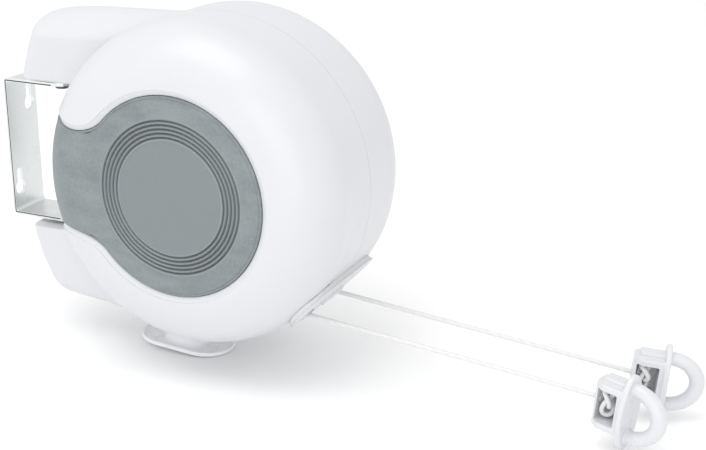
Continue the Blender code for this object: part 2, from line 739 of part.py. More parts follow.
def make_cleat():
    frame = empty("cleat_frame", (DRUM_X + CLEAT_X, 0, CLEAT_Z), (0, CLEAT_TILT, 0))
    floor = CLEAT_LOW + CLEAT_PLATE
    outline = stadium(CLEAT_HALF_LENGTH, CLEAT_HALF_WIDTH)
    inside = stadium(CLEAT_HALF_LENGTH - CLEAT_RIM, CLEAT_HALF_WIDTH - CLEAT_RIM)
    cleat = prism("line_lock_cleat", outline, CLEAT_LOW, floor + CLEAT_RIM, frame)
    boolean(cleat, "DIFFERENCE", prism("cleat_dish", inside, floor, 10 * MM, frame, cutter=True))
    stem = prism("cleat_stem", stadium(*CLEAT_STEM), -0.5 * MM, 30 * MM, frame, cutter=True)
    boolean(cleat, "UNION", stem)
    body = turned("cleat_clearance", case_profile(-GAP), case_axis, cutter=True)
    boolean(cleat, "DIFFERENCE", body, lobe("cleat_lobe_clearance", LOWER_LOBE, -1, -GAP / MM))
    head = CLEAT_Z + CLEAT_SCREW_HEAD
    for side, sign in SIDES.items():
        place = (DRUM_X + CLEAT_X, sign * CLEAT_SCREW_Y, 0)
        hole = rod(f"{side}_cleat_hole", SCREW_HOLE_R, BELOW_CLEAT, -70 * MM, None, place, 12, cutter=True)
        sink = rod(f"{side}_cleat_sink", COUNTERBORE_R, BELOW_CLEAT, head, None, place, 16, cutter=True)
        boolean(cleat, "DIFFERENCE", hole, sink)
        screw(f"{side}_cleat_screw", None, place, head - GAP, CLEAT_SCREW_TOP, up=False)
    paint(cleat, WHITE, 0.35)


# ---- drum, spring and axle ----


def make_drum():
    face = FLANGE_Y
    half = FLANGE / 2
    bore = BUSH_R + GAP
    profile = [
        (HUB_BORE_R, face),
        (FLANGE_R, face),
        (FLANGE_R, face - FLANGE),
        (HUB_R, face - FLANGE),
        (HUB_R, half),
        (FLANGE_R, half),
        (FLANGE_R, -half),
        (HUB_R, -half),
        (HUB_R, FLANGE - face),
        (FLANGE_R, FLANGE - face),
        (FLANGE_R, -face),
        (bore, -face),
        (bore, BEARING_DEPTH - face),
        (BEARING_R, BEARING_DEPTH - face),
        (BEARING_R, END_WALL - face),
        (HUB_BORE_R, END_WALL - face),
    ]
    drum = turned("line_drum", profile, drum_axis, 48, ring=True)
    paint(drum, WHITE, 0.5)
    lid_profile = [
        (bore, face),
        (HUB_BORE_R - GAP, face),
        (HUB_BORE_R - GAP, face - END_WALL),
        (BEARING_R, face - END_WALL),
        (BEARING_R, face - BEARING_DEPTH),
        (bore, face - BEARING_DEPTH),
    ]
    lid = turned("spring_lid", lid_profile, drum_axis, 48, ring=True)
    paint(lid, GREY, 0.5)


def make_bush(side, sign):
    """A bearing bush between drum and axle, flanged outside the drum."""
    outer = FLANGE_Y + GAP
    profile = [
        (AXLE_R + GAP, outer + BUSH_FLANGE),
        (BUSH_FLANGE_R, outer + BUSH_FLANGE),
        (BUSH_FLANGE_R, outer),
        (BUSH_R, outer),
        (BUSH_R, FLANGE_Y - BEARING_DEPTH),
        (AXLE_R + GAP, FLANGE_Y - BEARING_DEPTH),
    ]
    if sign < 0:
        profile = [(r, -h) for r, h in reversed(profile)]
    bush = turned(f"{side}_drum_bush", profile, drum_axis, 24, ring=True)
    paint(bush, BRASS, 0.35, 1.0)


def make_line_coil(side, sign):
    """The line wound on the drum, as one ring with rounded edges."""
    outer = LINE_DRUM_R - LINE_R - GAP
    low = FLANGE / 2 + GAP
    high = FLANGE_Y - FLANGE - GAP
    profile = [
        (HUB_R + GAP, high),
        (outer - LINE_R, high),
        (outer, high - LINE_R),
        (outer, low + LINE_R),
        (outer - LINE_R, low),
        (HUB_R + GAP, low),
    ]
    if sign < 0:
        profile = [(r, -h) for r, h in reversed(profile)]
    coil = turned(f"{side}_line_coil", profile, drum_axis, 48, ring=True)
    paint(coil, LINE_WHITE, 0.8)


def spring_radius(turn):
    """Radius of the power spring's strip, turns counted from its outer end."""
    if turn < SPRING_PACK_TURNS:
        return SPRING_OUTER_R - (SPRING_OUTER_R - SPRING_PACK_R) * turn / SPRING_PACK_TURNS
    share = (turn - SPRING_PACK_TURNS) / SPRING_FREE_TURNS
    return SPRING_PACK_R - (SPRING_PACK_R - ARBOR_R - SPRING_STRIP - GAP) * share


def make_spring():
    """The spiral power spring: one strip, as a thin outline extruded along the drum's axis."""
    turns = SPRING_PACK_TURNS + SPRING_FREE_TURNS
    outer, inner = [], []
    for i in range(turns * SPRING_STEPS + 1):
        turn = i / SPRING_STEPS
        angle = turn * math.tau
        for radius, edge in ((spring_radius(turn), outer), (spring_radius(turn) - SPRING_STRIP, inner)):
            edge.append((radius * math.cos(angle), radius * math.sin(angle)))
    half = SPRING_HALF_WIDTH
    spring = prism("power_spring", outer + inner[::-1], -half, half, drum_axis)
    paint(spring, DARK_STEEL, 0.3, 1.0)


def make_axle():
    axle = rod("drum_axle", AXLE_R, -AXLE_HALF_LENGTH, AXLE_HALF_LENGTH, case_axis, steps=24)
    paint(axle, STEEL, 0.3, 1.0)
    half = SPRING_HALF_WIDTH
    arbor = turned("spring_arbor", ring_profile(AXLE_R + GAP, ARBOR_R, -half, half), case_axis, 24, ring=True)
    paint(arbor, GREY, 0.5)


# ---- lines and end fittings ----


def fitting_frame(side, reach):
    """An empty at the back of a fitting's end plate, turned about the point where the line enters."""
    entry = empty(f"{side}_entry_frame", (reach + FITTING_ENTRY, 0, 0), (0, 0, FITTING_YAW[side]))
    entry.parent = line_frames[side]
    frame = empty(f"{side}_fitting_frame", (-FITTING_ENTRY, 0, 0))
    frame.parent = entry
    return frame


def ring_points():
    """Centreline of the D-shaped ring, x and z from the back of the end plate."""
    root = PLATE_THICKNESS * 0.6
    bow = [
        (RING_STRAIGHT + (RING_REACH - RING_STRAIGHT) * math.cos(a), RING_HALF_HEIGHT * math.sin(a))
        for a in [math.radians(90 - 15 * i) for i in range(13)]
    ]
    points = [(root, RING_HALF_HEIGHT), *bow, (root, -RING_HALF_HEIGHT)]
    return [(x, 0, z - PLATE_DROP) for x, z in points]


def tube(name, points, radius, parent, resolution=2, cutter=False):
    """A round bar along a line of points."""
    curve = bpy.data.curves.new(name, "CURVE")
    curve.dimensions = "3D"
    curve.bevel_depth = radius
    curve.bevel_resolution = resolution
    curve.use_fill_caps = True
    spline = curve.splines.new("POLY")
    spline.points.add(len(points) - 1)
    for point, place in zip(spline.points, points):
        point.co = (*place, 1.0)
    return add(name, curve, parent, cutter)


def make_fitting(side, reach):
    frame = fitting_frame(side, reach)
    name = f"{side}_end_fitting"
    oval = [(z, y) for y, z in arc((0, 0), 1, 7.5, 352.5, 23)]
    oval = [(z * PLATE_HALF_HEIGHT + PLATE_DROP, y * PLATE_HALF_WIDTH) for z, y in oval]
    fitting = prism(name, oval, 0, PLATE_THICKNESS, frame, (0, math.pi / 2, 0))
    along, across = BOX_CHAMFER
    half_box = [
        (PLATE_THICKNESS / 2, BOX_HALF_WIDTH),
        (along - BOX_LENGTH, BOX_HALF_WIDTH),
        (-BOX_LENGTH, BOX_HALF_WIDTH - across),
    ]
    outline = half_box + [(x, -y) for x, y in reversed(half_box)]
    box = prism(f"{name}_box", outline, BOX_BOTTOM, BOX_TOP, frame, cutter=True)
    rib = block(
        f"{name}_rib",
        (-RIB_START, -RIB_HALF_WIDTH, BOX_TOP - 1 * MM),
        (PLATE_THICKNESS / 3, RIB_HALF_WIDTH, BOX_TOP + RIB_RISE),
        frame,
        cutter=True,
    )
    bow = mesh_from_curve(tube(f"{name}_ring", ring_points(), RING_BAR_R, frame, cutter=True))
    boolean(fitting, "UNION", box, rib, bow)
    window = block(
        f"{name}_window",
        (-WINDOW_END, -0.02, WINDOW_BOTTOM),
        (WINDOW_LENGTH - WINDOW_END, WINDOW_BACK, WINDOW_TOP),
        frame,
        cutter=True,
    )
    hole_frame = empty(f"{name}_hole_frame", (0, 0, 0), (0, math.pi / 2, 0))
    hole_frame.parent = frame
    hole = rod(f"{name}_hole", LINE_HOLE_R, -0.025, -9 * MM, hole_frame, steps=16, cutter=True)
    boolean(fitting, "DIFFERENCE", window, hole)
    paint(fitting, WHITE, 0.35)
    make_knot(side, frame)


def knot_centre():
    """Centre of the knot, from the back of the end plate."""
    return GAP + KNOT_R - WINDOW_END


def make_knot(side, frame):
    """The line's stopper knot, inside the fitting's box."""
    mesh = bpy.data.meshes.new(f"{side}_knot")
    bm = bmesh.new()
    shape = Matrix.Diagonal(KNOT_SHAPE)
    bmesh.ops.create_uvsphere(bm, u_segments=12, v_segments=8, radius=KNOT_R, matrix=shape)
    bm.to_mesh(mesh)
    bm.free()
    smooth(mesh)
    knot = add(f"{side}_knot", mesh, frame)
    knot.location = (knot_centre(), 0, 0)
    paint(knot, LINE_WHITE, 0.8)


def make_line(side, reach):
    """The straight run of a line, from where it leaves the drum to its knot."""
    start = -(OUTLET_X * math.cos(LINE_DROP) - outlet_z() * math.sin(LINE_DROP))
    end = reach - WINDOW_END
    axis = empty(f"{side}_line_run_axis", (0, 0, 0), (0, math.pi / 2, 0))
    axis.parent = line_frames[side]
    line = rod(f"{side}_line", LINE_R, start, end, axis, steps=12)
    paint(line, LINE_WHITE, 0.8)


make_bracket()
make_swivel("upper", 1)
make_swivel("lower", -1)
make_case()
make_case_screws()
make_outlet()
make_cleat()
make_drum()
make_spring()
make_axle()
for side, sign in SIDES.items():
    make_eyelet(side)
    make_bush(side, sign)
    make_line_coil(side, sign)
for side, reach in (("left", LEFT_REACH), ("right", RIGHT_REACH)):
    make_fitting(side, reach)
    make_line(side, reach)
bpy.context.view_layer.update()
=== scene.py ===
"""Looks of the retractable clothesline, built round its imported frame.

The moulded pieces are distance fields, in millimetres, meshed by a surface net, so their edges and
joins are rounded the way moulding leaves them. A field is below zero inside its piece. The case's own
coordinates start at the drum's axis, in the middle of its width. Left is -Y, right is +Y.
"""

import json
import math

import bmesh
import bpy
import numpy as np
from mathutils import Matrix, Vector


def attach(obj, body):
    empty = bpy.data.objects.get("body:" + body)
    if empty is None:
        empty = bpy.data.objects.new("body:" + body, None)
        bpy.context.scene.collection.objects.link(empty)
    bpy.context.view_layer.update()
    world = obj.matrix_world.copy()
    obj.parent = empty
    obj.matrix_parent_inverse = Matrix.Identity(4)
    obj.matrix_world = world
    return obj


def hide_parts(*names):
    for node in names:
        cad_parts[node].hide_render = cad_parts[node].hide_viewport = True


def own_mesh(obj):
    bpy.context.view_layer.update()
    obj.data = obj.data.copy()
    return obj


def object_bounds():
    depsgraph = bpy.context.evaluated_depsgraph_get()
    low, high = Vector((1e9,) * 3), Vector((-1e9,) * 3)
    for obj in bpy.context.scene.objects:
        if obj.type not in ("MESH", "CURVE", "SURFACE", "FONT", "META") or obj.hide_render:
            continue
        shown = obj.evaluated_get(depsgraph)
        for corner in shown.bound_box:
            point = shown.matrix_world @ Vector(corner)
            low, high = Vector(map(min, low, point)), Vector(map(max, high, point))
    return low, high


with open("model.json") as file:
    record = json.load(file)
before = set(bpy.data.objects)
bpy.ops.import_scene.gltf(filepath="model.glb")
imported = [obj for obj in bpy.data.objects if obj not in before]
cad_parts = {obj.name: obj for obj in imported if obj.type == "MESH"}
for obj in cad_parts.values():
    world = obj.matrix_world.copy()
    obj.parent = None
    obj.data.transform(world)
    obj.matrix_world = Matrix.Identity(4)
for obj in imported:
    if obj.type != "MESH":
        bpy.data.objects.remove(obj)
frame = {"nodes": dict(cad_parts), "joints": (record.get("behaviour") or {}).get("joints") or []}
cad_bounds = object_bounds()

MM = 0.001
JOINTS = {joint["name"]: joint for joint in frame["joints"]}
DRUM = Vector(JOINTS["drum_spin"]["pos_m"])
PIVOT_X = (JOINTS["case_swivel"]["pos_m"][0] - DRUM.x) / MM
LINE_AXIS = Vector(JOINTS["left_line_slide"]["axis"])
SIDES = {"left": -1, "right": 1}
CASE_PLACE = Matrix.Translation(DRUM)

# Case, in millimetres
FLAT_R = 58.5  # the flat of each side
SHOULDER_R = 30.0
STRAIGHT = 27.0  # half width of the band round the middle
CASE_R = FLAT_R + SHOULDER_R
CASE_HALF_WIDTH = STRAIGHT + SHOULDER_R
SHOULDER_LENGTH = SHOULDER_R * math.pi / 2
SEAM_LENGTH = FLAT_R + SHOULDER_LENGTH + STRAIGHT  # over the surface from a side's centre
SEAM = 0.1  # each shell stops this far from the middle
SHELL_CELL = 1.2
WALL = 4.5
LOBE_FACE = 43.5
LOBE_CORNER_R = 8.5  # of the lobes' back corners, seen from above
LOBE_FRONT = -8.0  # the lobes end here, inside the body
JOIN_FADE = ((-60, -20), 0.8)  # x over which a lobe's fillet shrinks to this radius
POST_ANGLES = (35, 95, 180, 340)
POST_CIRCLE_R = 78.5
POST_R = 4.5
LOBE_SCREW = (-86.0, 63.0)
SCREW_HEADS = {"body": 30, "lobe": 12}  # y of the screws' seats
SCREW_BORE_R = 1.9
COUNTERBORE_R = 3.8
SCREW_DEPTH = 16
PIN_BORE_R = 4.3
PIN_BORES = ((40, 61), (-61, -40))  # low and high z
AXLE_BORE_R = 6.3
AXLE_BORE = (20, 54.2)  # from and to y
AXLE_BOSS_R = 11
AXLE_BOSS_Y = 36
PIN_BOSS_R = 9
POCKET_X = (-109, -84)  # the hollow in each lobe
POCKET_Y = (-1, 14)
POCKET_Z = (LOBE_FACE + 3, 66)

# Cover and the bevelled lip round it
COVER_R = 54.0
COVER_DEPTH = 0.8
COVER_BACK = 3.2
COVER_POINTS = 480
UPPER_TAIL = (137, (-47.7, 28), (-64, 25), (-93.5, 40))  # angle on the circle, then curve points x, z
LOWER_TAIL = (-139, (-48.6, -26.3), (-66, -25), (-93.5, -28))
BORDER = 2.0
GROOVE_R = (32.2, 34.4, 36.6, 38.8, 41.0)
GROOVE_HALF_WIDTH = 0.6
GROOVE_DEPTH = 1.9
RIDGE_RISE = 0.45
LIP_WIDTH = 3.2
LIP_DEPTH = 1.7
LIP_STEP = 0.4
LIP_RIM = 0.4  # the recess's cutter starts this far above the surface
GAP = 0.3

# Bracket: the dark line on the strap's cut edges, from its outer face
STRAP_TOP = 41.2
STRAP_EDGE = 12.8
EDGE_LINE_DEPTH = 1.45
EDGE_LINE_HALF_WIDTH = 0.35

# Outlet, cleat and end fittings
OUTLET_TILT = math.radians(42.6)
OUTLET_FACE = 90.4
OUTLET_X = 60.0
OUTLET_SEAT = 0.05
OUTLET_LIP = (38.5, 17.5, -1.0, 0.0)  # half length, half width, back and front, as for all ovals
OUTLET_WALL = (38.0, 17.0, -10.5, -0.5)
OUTLET_PAD = (10.0, 4.5, -1.0, 1.6)
OUTLET_CELL = 0.5
LINE_Y = 18.1
LINE_R = 1.25
LINE_DRUM_R = 62.7
REACH = {"left": 176.3, "right": 184.0}  # from the outlet to the back of the end plate
FITTING_YAW = {"left": math.radians(-14), "right": math.radians(14)}  # how each one hangs on its line
LINE_HOLE_R = 2.2
KNOT_X = -9.0  # the knot's middle, and the end of the line's hole
FITTING_ENTRY = -14.5  # where the line enters, from the back of the end plate
EYELET_R = 3.9  # of the holes for the eyelets
CLEAT_PLACE = (-27.5, 0.0, -106.0)
CLEAT_TILT = math.radians(3.7)
CLEAT_DISH = (28.9, 17.1, -1.2, 1.4)
CLEAT_HOLLOW = (27.4, 15.6, 0.4)  # half length, half width and floor
CLEAT_STEM = (14.0, 10.5, 0.0, 24.0)
CLEAT_SCREW_Y = 5.5
CLEAT_SCREW_SEAT = 3.5
CLEAT_CELL = 0.7
PLATE = (10.2, 20.3, 3.0)  # half width, half height and thickness
PLATE_DROP = 2.0
BOX = ((-15.5, -8, -13), (2, 8, 11))
TAPER_X = -11.0  # the box's sides close in toward the line from here
TAPER = 0.85
RIB = ((-12.5, -4, 8), (2, 4, 13.4))
WINDOW = ((-13.6, -30, -9.8), (-2.2, 5.5, 7.8))
RING_STRAIGHT = 4
RING_BOW = (14.1, 12.9)  # reach and half height
RING_R = (3.6, 4.0)  # of the bar, at its roots and at its outermost point
KNOT_SCALE = (2.2, 1.45, 2.55)
KNOT_SHIFT = (0, -0.9, 0.2)
FITTING_CELL = 0.5

# Camera
CAMERA_PLACE = (0.4975, -0.6081, 0.2152)  # metres
CAMERA_RIGHT = (0.9068, 0.4215, 0.0015)
CAMERA_BACK = (0.3972, -0.8557, 0.3316)


# ---- fields ----


def round_max(a, b, radius):
    """Where both fields hold, with the edge between them rounded."""
    corner = np.hypot(np.maximum(a + radius, 0), np.maximum(b + radius, 0))
    return np.minimum(np.maximum(a, b), -radius) + corner


def round_min(a, b, radius):
    """Where either field holds, with a fillet between them."""
    corner = np.hypot(np.maximum(radius - a, 0), np.maximum(radius - b, 0))
    return np.maximum(np.minimum(a, b), radius) - corner


def soft_curve(points, soft=5.0, step=0.5):
    """A function through points whose corners are rounded over this length."""
    places, heights = zip(*points)
    grid = np.arange(places[0], places[-1] + step, step)
    window = np.hanning(int(2 * soft / step) + 3)
    line = np.pad(np.interp(grid, places, heights), len(window) // 2, mode="reflect", reflect_type="odd")
    eased = np.convolve(line, window / window.sum(), "valid")[: len(grid)]
    return lambda at: np.interp(at, grid, eased)


def stadium(u, v, half_length, half_width):
    """An oval with straight long sides, along u."""
    along = np.maximum(np.abs(u) - (half_length - half_width), 0)
    return np.hypot(along, v) - half_width


def slab(at, low, high):
    """All that lies between two planes."""
    return np.abs(at - (low + high) / 2) - (high - low) / 2


def oval_plate(u, v, w, size, edge):
    """A stadium with a thickness and rounded edges."""
    half_length, half_width, back, front = size
    return round_max(stadium(u, v, half_length, half_width), slab(w, back, front), edge)


def rounded_box(x, y, z, low, high, radius):
    """A box between two corners with every edge rounded."""
    spans = [np.abs(at - (a + b) / 2) - (b - a) / 2 + radius for at, a, b in zip((x, y, z), low, high)]
    outside = np.sqrt(sum(np.maximum(span, 0) ** 2 for span in spans))
    return outside + np.minimum(np.maximum.reduce(spans), 0) - radius


def body_field(x, y, z):
    """The drum-shaped body, with a quarter-round shoulder on each side."""
    out = np.hypot(x, z) - FLAT_R
    across = np.abs(y) - STRAIGHT
    corner = np.hypot(np.maximum(out, 0), np.maximum(across, 0))
    return corner + np.minimum(np.maximum(out, across), 0) - SHOULDER_R


class Lobe:
    """One of the two lobes that reach back to the bracket.

    Its half width, side height and crown height are curves over x, and its back is a curve over height.
    """

    def __init__(self, sign, half_width, side, crown, back, edge, join):
        self.sign = sign
        self.half_width = soft_curve(half_width)
        self.side = soft_curve(side)
        self.crown = soft_curve(crown)
        self.back = soft_curve(back, 3.0)
        self.edge = edge
        self.join = join

    def field(self, x, y, z):
        """The lobe on its own: a crowned block that ends inside the body."""
        height = self.sign * z
        half_width = self.half_width(x)
        flank = np.abs(y) - half_width
        crown = self.crown(x)
        dome = crown - (crown - self.side(x)) * np.minimum(np.abs(y) / half_width, 1.3) ** 2
        plan = round_max(flank, self.back(height) - x, LOBE_CORNER_R)
        solid = round_max(plan, height - dome, self.edge)
        solid = round_max(solid, LOBE_FACE - height, 1.0)
        return np.maximum(solid, x - LOBE_FRONT)

    def join_radius(self, x):
        """The fillet is widest at the neck and fades out where the lobe runs into the body."""
        places, least = JOIN_FADE
        return np.interp(x, places, (self.join, least))


UPPER_LOBE = Lobe(
    sign=1,
    half_width=((-130, 20.3), (-60, 20.3), (0, 22)),
    side=((-130, 70), (-92, 70.8), (-82, 71), (-69, 71.6), (-56, 73), (-50, 74.3), (-20, 80), (0, 82)),
    crown=(
        *((-130, 75), (-112, 77.6), (-107, 80), (-102, 81.5), (-94, 82.9)),
        *((-83, 83.9), (-69, 84.7), (-35, 85.4), (0, 86)),
    ),
    back=((30, -121.2), (47, -120.5), (64, -115), (69, -112.6), (74, -110.9), (80, -110.4), (90, -110)),
    edge=2.2,
    join=2.5,
)
LOWER_LOBE = Lobe(
    sign=-1,
    half_width=((-130, 20.5), (-60, 20.5), (0, 22)),
    side=((-130, 77), (-111, 79.2), (-106, 80), (-92, 82.2), (-76, 83.8), (-62, 84.4), (-40, 85), (0, 85)),
    crown=((-130, 80), (-111, 82.5), (-98, 84.8), (-80, 86.4), (-62, 87), (-40, 87), (0, 87)),
    back=((30, -121.2), (47, -120.8), (54, -118.7), (61, -116.6), (66, -114.5), (77.6, -108.6), (90, -100)),
    edge=5.5,
    join=24.0,
)


def case_field(x, y, z):
    """The outside of the whole case: the body and both lobes."""
    field = body_field(x, y, z)
    for lobe in (UPPER_LOBE, LOWER_LOBE):
        field = round_min(field, lobe.field(x, y, z), lobe.join_radius(x))
    return field


# ---- meshing ----


def gradient(field, points, step=0.04):
    """A field's slope at points, by differences."""
    slopes = []
    for axis in range(3):
        shift = np.zeros(3)
        shift[axis] = step
        slopes.append((field(*(points + shift).T) - field(*(points - shift).T)) / (2 * step))
    return np.stack(slopes, 1)


def cell_points(values):
    """In each cell that the surface crosses, the mean of the crossings on its edges, in cells."""
    size = tuple(count - 1 for count in values.shape)
    total = np.zeros((*size, 3))
    count = np.zeros(size)
    for axis in range(3):
        first, second = (other for other in range(3) if other != axis)
        for u, v in ((0, 0), (0, 1), (1, 0), (1, 1)):
            start = [0, 0, 0]
            start[first], start[second] = u, v
            end = list(start)
            end[axis] = 1
            a, b = (values[tuple(slice(c, c + n) for c, n in zip(at, size))] for at in (start, end))
            crossed = (a < 0) != (b < 0)
            total[..., axis] += np.where(crossed, a / np.where(crossed, a - b, 1), 0)
            total[..., first] += u * crossed
            total[..., second] += v * crossed
            count += crossed
    used = count > 0
    return used, np.argwhere(used) + total[used] / count[used][:, None]


def net_faces(values, used):
    """A quad for each grid edge that the surface crosses, joining the four cells round it."""
    index = np.full(used.shape, -1)
    index[used] = np.arange(used.sum())
    inside = values < 0
    quads = []
    for axis in range(3):
        first, second = (other for other in range(3) if other != axis)
        low = [slice(1, -1)] * 3
        high = [slice(1, -1)] * 3
        low[axis] = slice(0, -1)
        high[axis] = slice(1, None)
        a, b = inside[tuple(low)], inside[tuple(high)]
        at = np.argwhere(a != b)
        turned_round = ~a[tuple(at.T)] if axis != 1 else a[tuple(at.T)]
        at[:, first] += 1
        at[:, second] += 1
        step_1, step_2 = np.eye(3, dtype=int)[[first, second]]
        corners = (at - step_1 - step_2, at - step_2, at, at - step_1)
        quad = np.stack([index[tuple(corner.T)] for corner in corners], 1)
        quad[turned_round] = quad[turned_round][:, ::-1]
        quads.append(quad)
    return np.concatenate(quads)


def surface_net(field, low, high, cell):
    """Points and quads of a field's zero surface inside a box."""
    axes = [np.arange(a, b + cell, cell) for a, b in zip(low, high)]
    values = field(*np.meshgrid(*axes, indexing="ij"))
    used, at = cell_points(values)
    points = np.array([axis[0] for axis in axes]) + at * cell
    for _ in range(4):
        slope = gradient(field, points)
        steepness = np.maximum((slope**2).sum(1), 0.3)
        step = -(field(*points.T) / steepness)[:, None] * slope
        points = points + np.clip(step, -cell / 2, cell / 2)
    return points, net_faces(values, used)


def mesh_object(name, points, faces, place=CASE_PLACE):
    """A mesh object from millimetre points, with its place worked into its points."""
    mesh = bpy.data.meshes.new(name)
    faces = [list(map(int, face)) for face in faces]
    mesh.from_pydata((np.asarray(points) * MM).tolist(), [], faces)
    mesh.transform(place)
    mesh.update()
    obj = bpy.data.objects.new(name, mesh)
    bpy.context.scene.collection.objects.link(obj)
    return obj


def edit_mesh(obj, change):
    """Runs a bmesh change on an object's mesh."""
    bm = bmesh.new()
    bm.from_mesh(obj.data)
    change(bm)
    bm.to_mesh(obj.data)
    bm.free()
    obj.data.update()


def shade(obj, angle):
    """Smooth shading, with edges sharper than an angle in degrees left hard."""
    obj.data.shade_smooth()
    obj.data.set_sharp_from_angle(angle=math.radians(angle))


def true_normals(obj, field, place=CASE_PLACE, same=0.975):
    """Shades the field's own surface by the field's slope, and leaves cut faces as they are."""
    shade(obj, 10)
    mesh = obj.data
    back = np.array(place.inverted())
    points = np.array([v.co for v in mesh.vertices]) @ back[:3, :3].T + back[:3, 3]
    slope = gradient(field, points / MM)
    slope /= np.maximum(np.linalg.norm(slope, axis=1, keepdims=True), 1e-9)
    slope = slope @ np.array(place)[:3, :3].T
    corners = np.array([n.vector for n in mesh.corner_normals])
    loops = np.array([loop.vertex_index for loop in mesh.loops])
    faces = np.array([p.normal for p in mesh.polygons])
    owner = np.repeat(np.arange(len(mesh.polygons)), [p.loop_total for p in mesh.polygons])
    ideal = slope[loops]
    close = (ideal * faces[owner]).sum(1) > same
    mesh.normals_split_custom_set(np.where(close[:, None], ideal, corners).tolist())


def join(objects):
    """One object made of several that don't touch."""
    bm = bmesh.new()
    for obj in objects:
        bm.from_mesh(obj.data)
        bpy.data.objects.remove(obj)
    mesh = bpy.data.meshes.new("joined")
    bm.to_mesh(mesh)
    bm.free()
    joined = bpy.data.objects.new("joined", mesh)
    bpy.context.scene.collection.objects.link(joined)
    return joined


def cut(obj, cutters):
    """Takes cutters that don't touch each other out of an object, and removes them."""
    tool = join(cutters)
    modifier = obj.modifiers.new("cut", "BOOLEAN")
    modifier.operation = "DIFFERENCE"
    modifier.solver = "EXACT"
    modifier.object = tool
    bpy.context.view_layer.update()
    evaluated = obj.evaluated_get(bpy.context.evaluated_depsgraph_get())
    mesh = bpy.data.meshes.new_from_object(evaluated)
    obj.modifiers.clear()
    obj.data = mesh
    bpy.data.objects.remove(tool)
    return obj


def turned(name, profile, steps=96):
    """A closed solid turned about the case's Y axis, from (radius, y) points from axis to axis."""
    angles = np.arange(steps) * math.tau / steps
    rings = [(r * np.cos(angles), np.full(steps, y), r * np.sin(angles)) for r, y in profile[1:-1]]
    sides = np.concatenate([np.stack(ring, 1) for ring in rings])
    points = [(0, profile[0][1], 0), *sides, (0, profile[-1][1], 0)]
    return mesh_object(name, np.array(points, float), fan_faces(len(rings), steps))


def fan_faces(rings, count):
    """Faces from a first centre point, over rings of points, to a last centre point."""
    here = np.arange(count)
    after = (here + 1) % count
    faces = [(0, 1 + b, 1 + a) for a, b in zip(here, after)]
    for ring in range(rings - 1):
        low = 1 + ring * count
        high = low + count
        faces += [(low + a, low + b, high + b, high + a) for a, b in zip(here, after)]
    last = 1 + (rings - 1) * count
    return faces + [(last + a, last + b, last + count) for a, b in zip(here, after)]


def cylinder(start, end, radius, sides=32):
    """A closed cylinder between two points, in millimetres."""
    start, end = Vector(start), Vector(end)
    span = end - start
    mesh = bpy.data.meshes.new("cylinder")
    bm = bmesh.new()
    middle = Matrix.Translation((start + end) / 2) @ span.to_track_quat("Z", "Y").to_matrix().to_4x4()
    bmesh.ops.create_cone(
        bm,
        cap_ends=True,
        segments=sides,
        radius1=radius,
        radius2=radius,
        depth=span.length,
        matrix=middle,
    )
    bmesh.ops.scale(bm, vec=(MM, MM, MM), verts=bm.verts)
    bm.to_mesh(mesh)
    bm.free()
    mesh.transform(CASE_PLACE)
    obj = bpy.data.objects.new("cylinder", mesh)
    bpy.context.scene.collection.objects.link(obj)
    return obj


def box(x_span, y_span, z_span):
    """A plain cutter from its spans along X, Y and Z."""
    corners = np.array([(x, y, z) for x in x_span for y in y_span for z in z_span])
    faces = ((0, 1, 3, 2), (4, 6, 7, 5), (0, 4, 5, 1), (2, 3, 7, 6), (0, 2, 6, 4), (1, 5, 7, 3))
    return mesh_object("box", corners, faces)


# ---- the case's surface as a map: angle round the axis, length from the centre of a side ----


def case_point(angle, length, depth):
    """A point of the left side, this deep below the body's surface."""
    bend = np.clip((length - FLAT_R) / SHOULDER_R, 0, math.pi / 2)
    radius = np.minimum(length, FLAT_R) + (SHOULDER_R - depth) * np.sin(bend)
    past = np.maximum(length - FLAT_R - SHOULDER_LENGTH, 0)
    across = STRAIGHT + (SHOULDER_R - depth) * np.cos(bend) - past
    return np.stack((radius * np.cos(angle), -across, radius * np.sin(angle)), -1)


def case_map(points):
    """The angle and length of points on the body's surface."""
    x, y, z = points.T
    radius = np.hypot(x, z)
    bend = np.arctan2(radius - FLAT_R, -y - STRAIGHT)
    shoulder = FLAT_R + SHOULDER_R * np.clip(bend, 0, math.pi / 2)
    length = np.where(radius < FLAT_R, radius, shoulder + np.maximum(y + STRAIGHT, 0))
    return np.arctan2(z, x), length


def bezier(p0, p1, p2, p3, count=80):
    """Points along a cubic curve."""
    t = np.linspace(0, 1, count)[:, None]
    p0, p1, p2, p3 = map(np.array, (p0, p1, p2, p3))
    return (1 - t) ** 3 * p0 + 3 * (1 - t) ** 2 * t * p1 + 3 * (1 - t) * t**2 * p2 + t**3 * p3


def tail_edge(angle, near, far, end, stop):
    """One edge of the cover's tail, from its circle to the middle of the case's back: angle, length."""
    start = (COVER_R * math.cos(math.radians(angle)), COVER_R * math.sin(math.radians(angle)))
    curve = bezier(start, near, far, end)
    x, z = curve[np.hypot(*curve.T) < CASE_R - GAP].T
    radius = np.hypot(x, z)
    shoulder = FLAT_R + SHOULDER_R * np.arcsin(np.clip((radius - FLAT_R) / SHOULDER_R, 0, 1))
    length = np.where(radius < FLAT_R, radius, shoulder)
    turn = np.arctan2(z, x) % math.tau
    band = np.linspace(length[-1], stop, 20)[1:]
    return np.append(turn, np.full(len(band), turn[-1])), np.append(length, band)


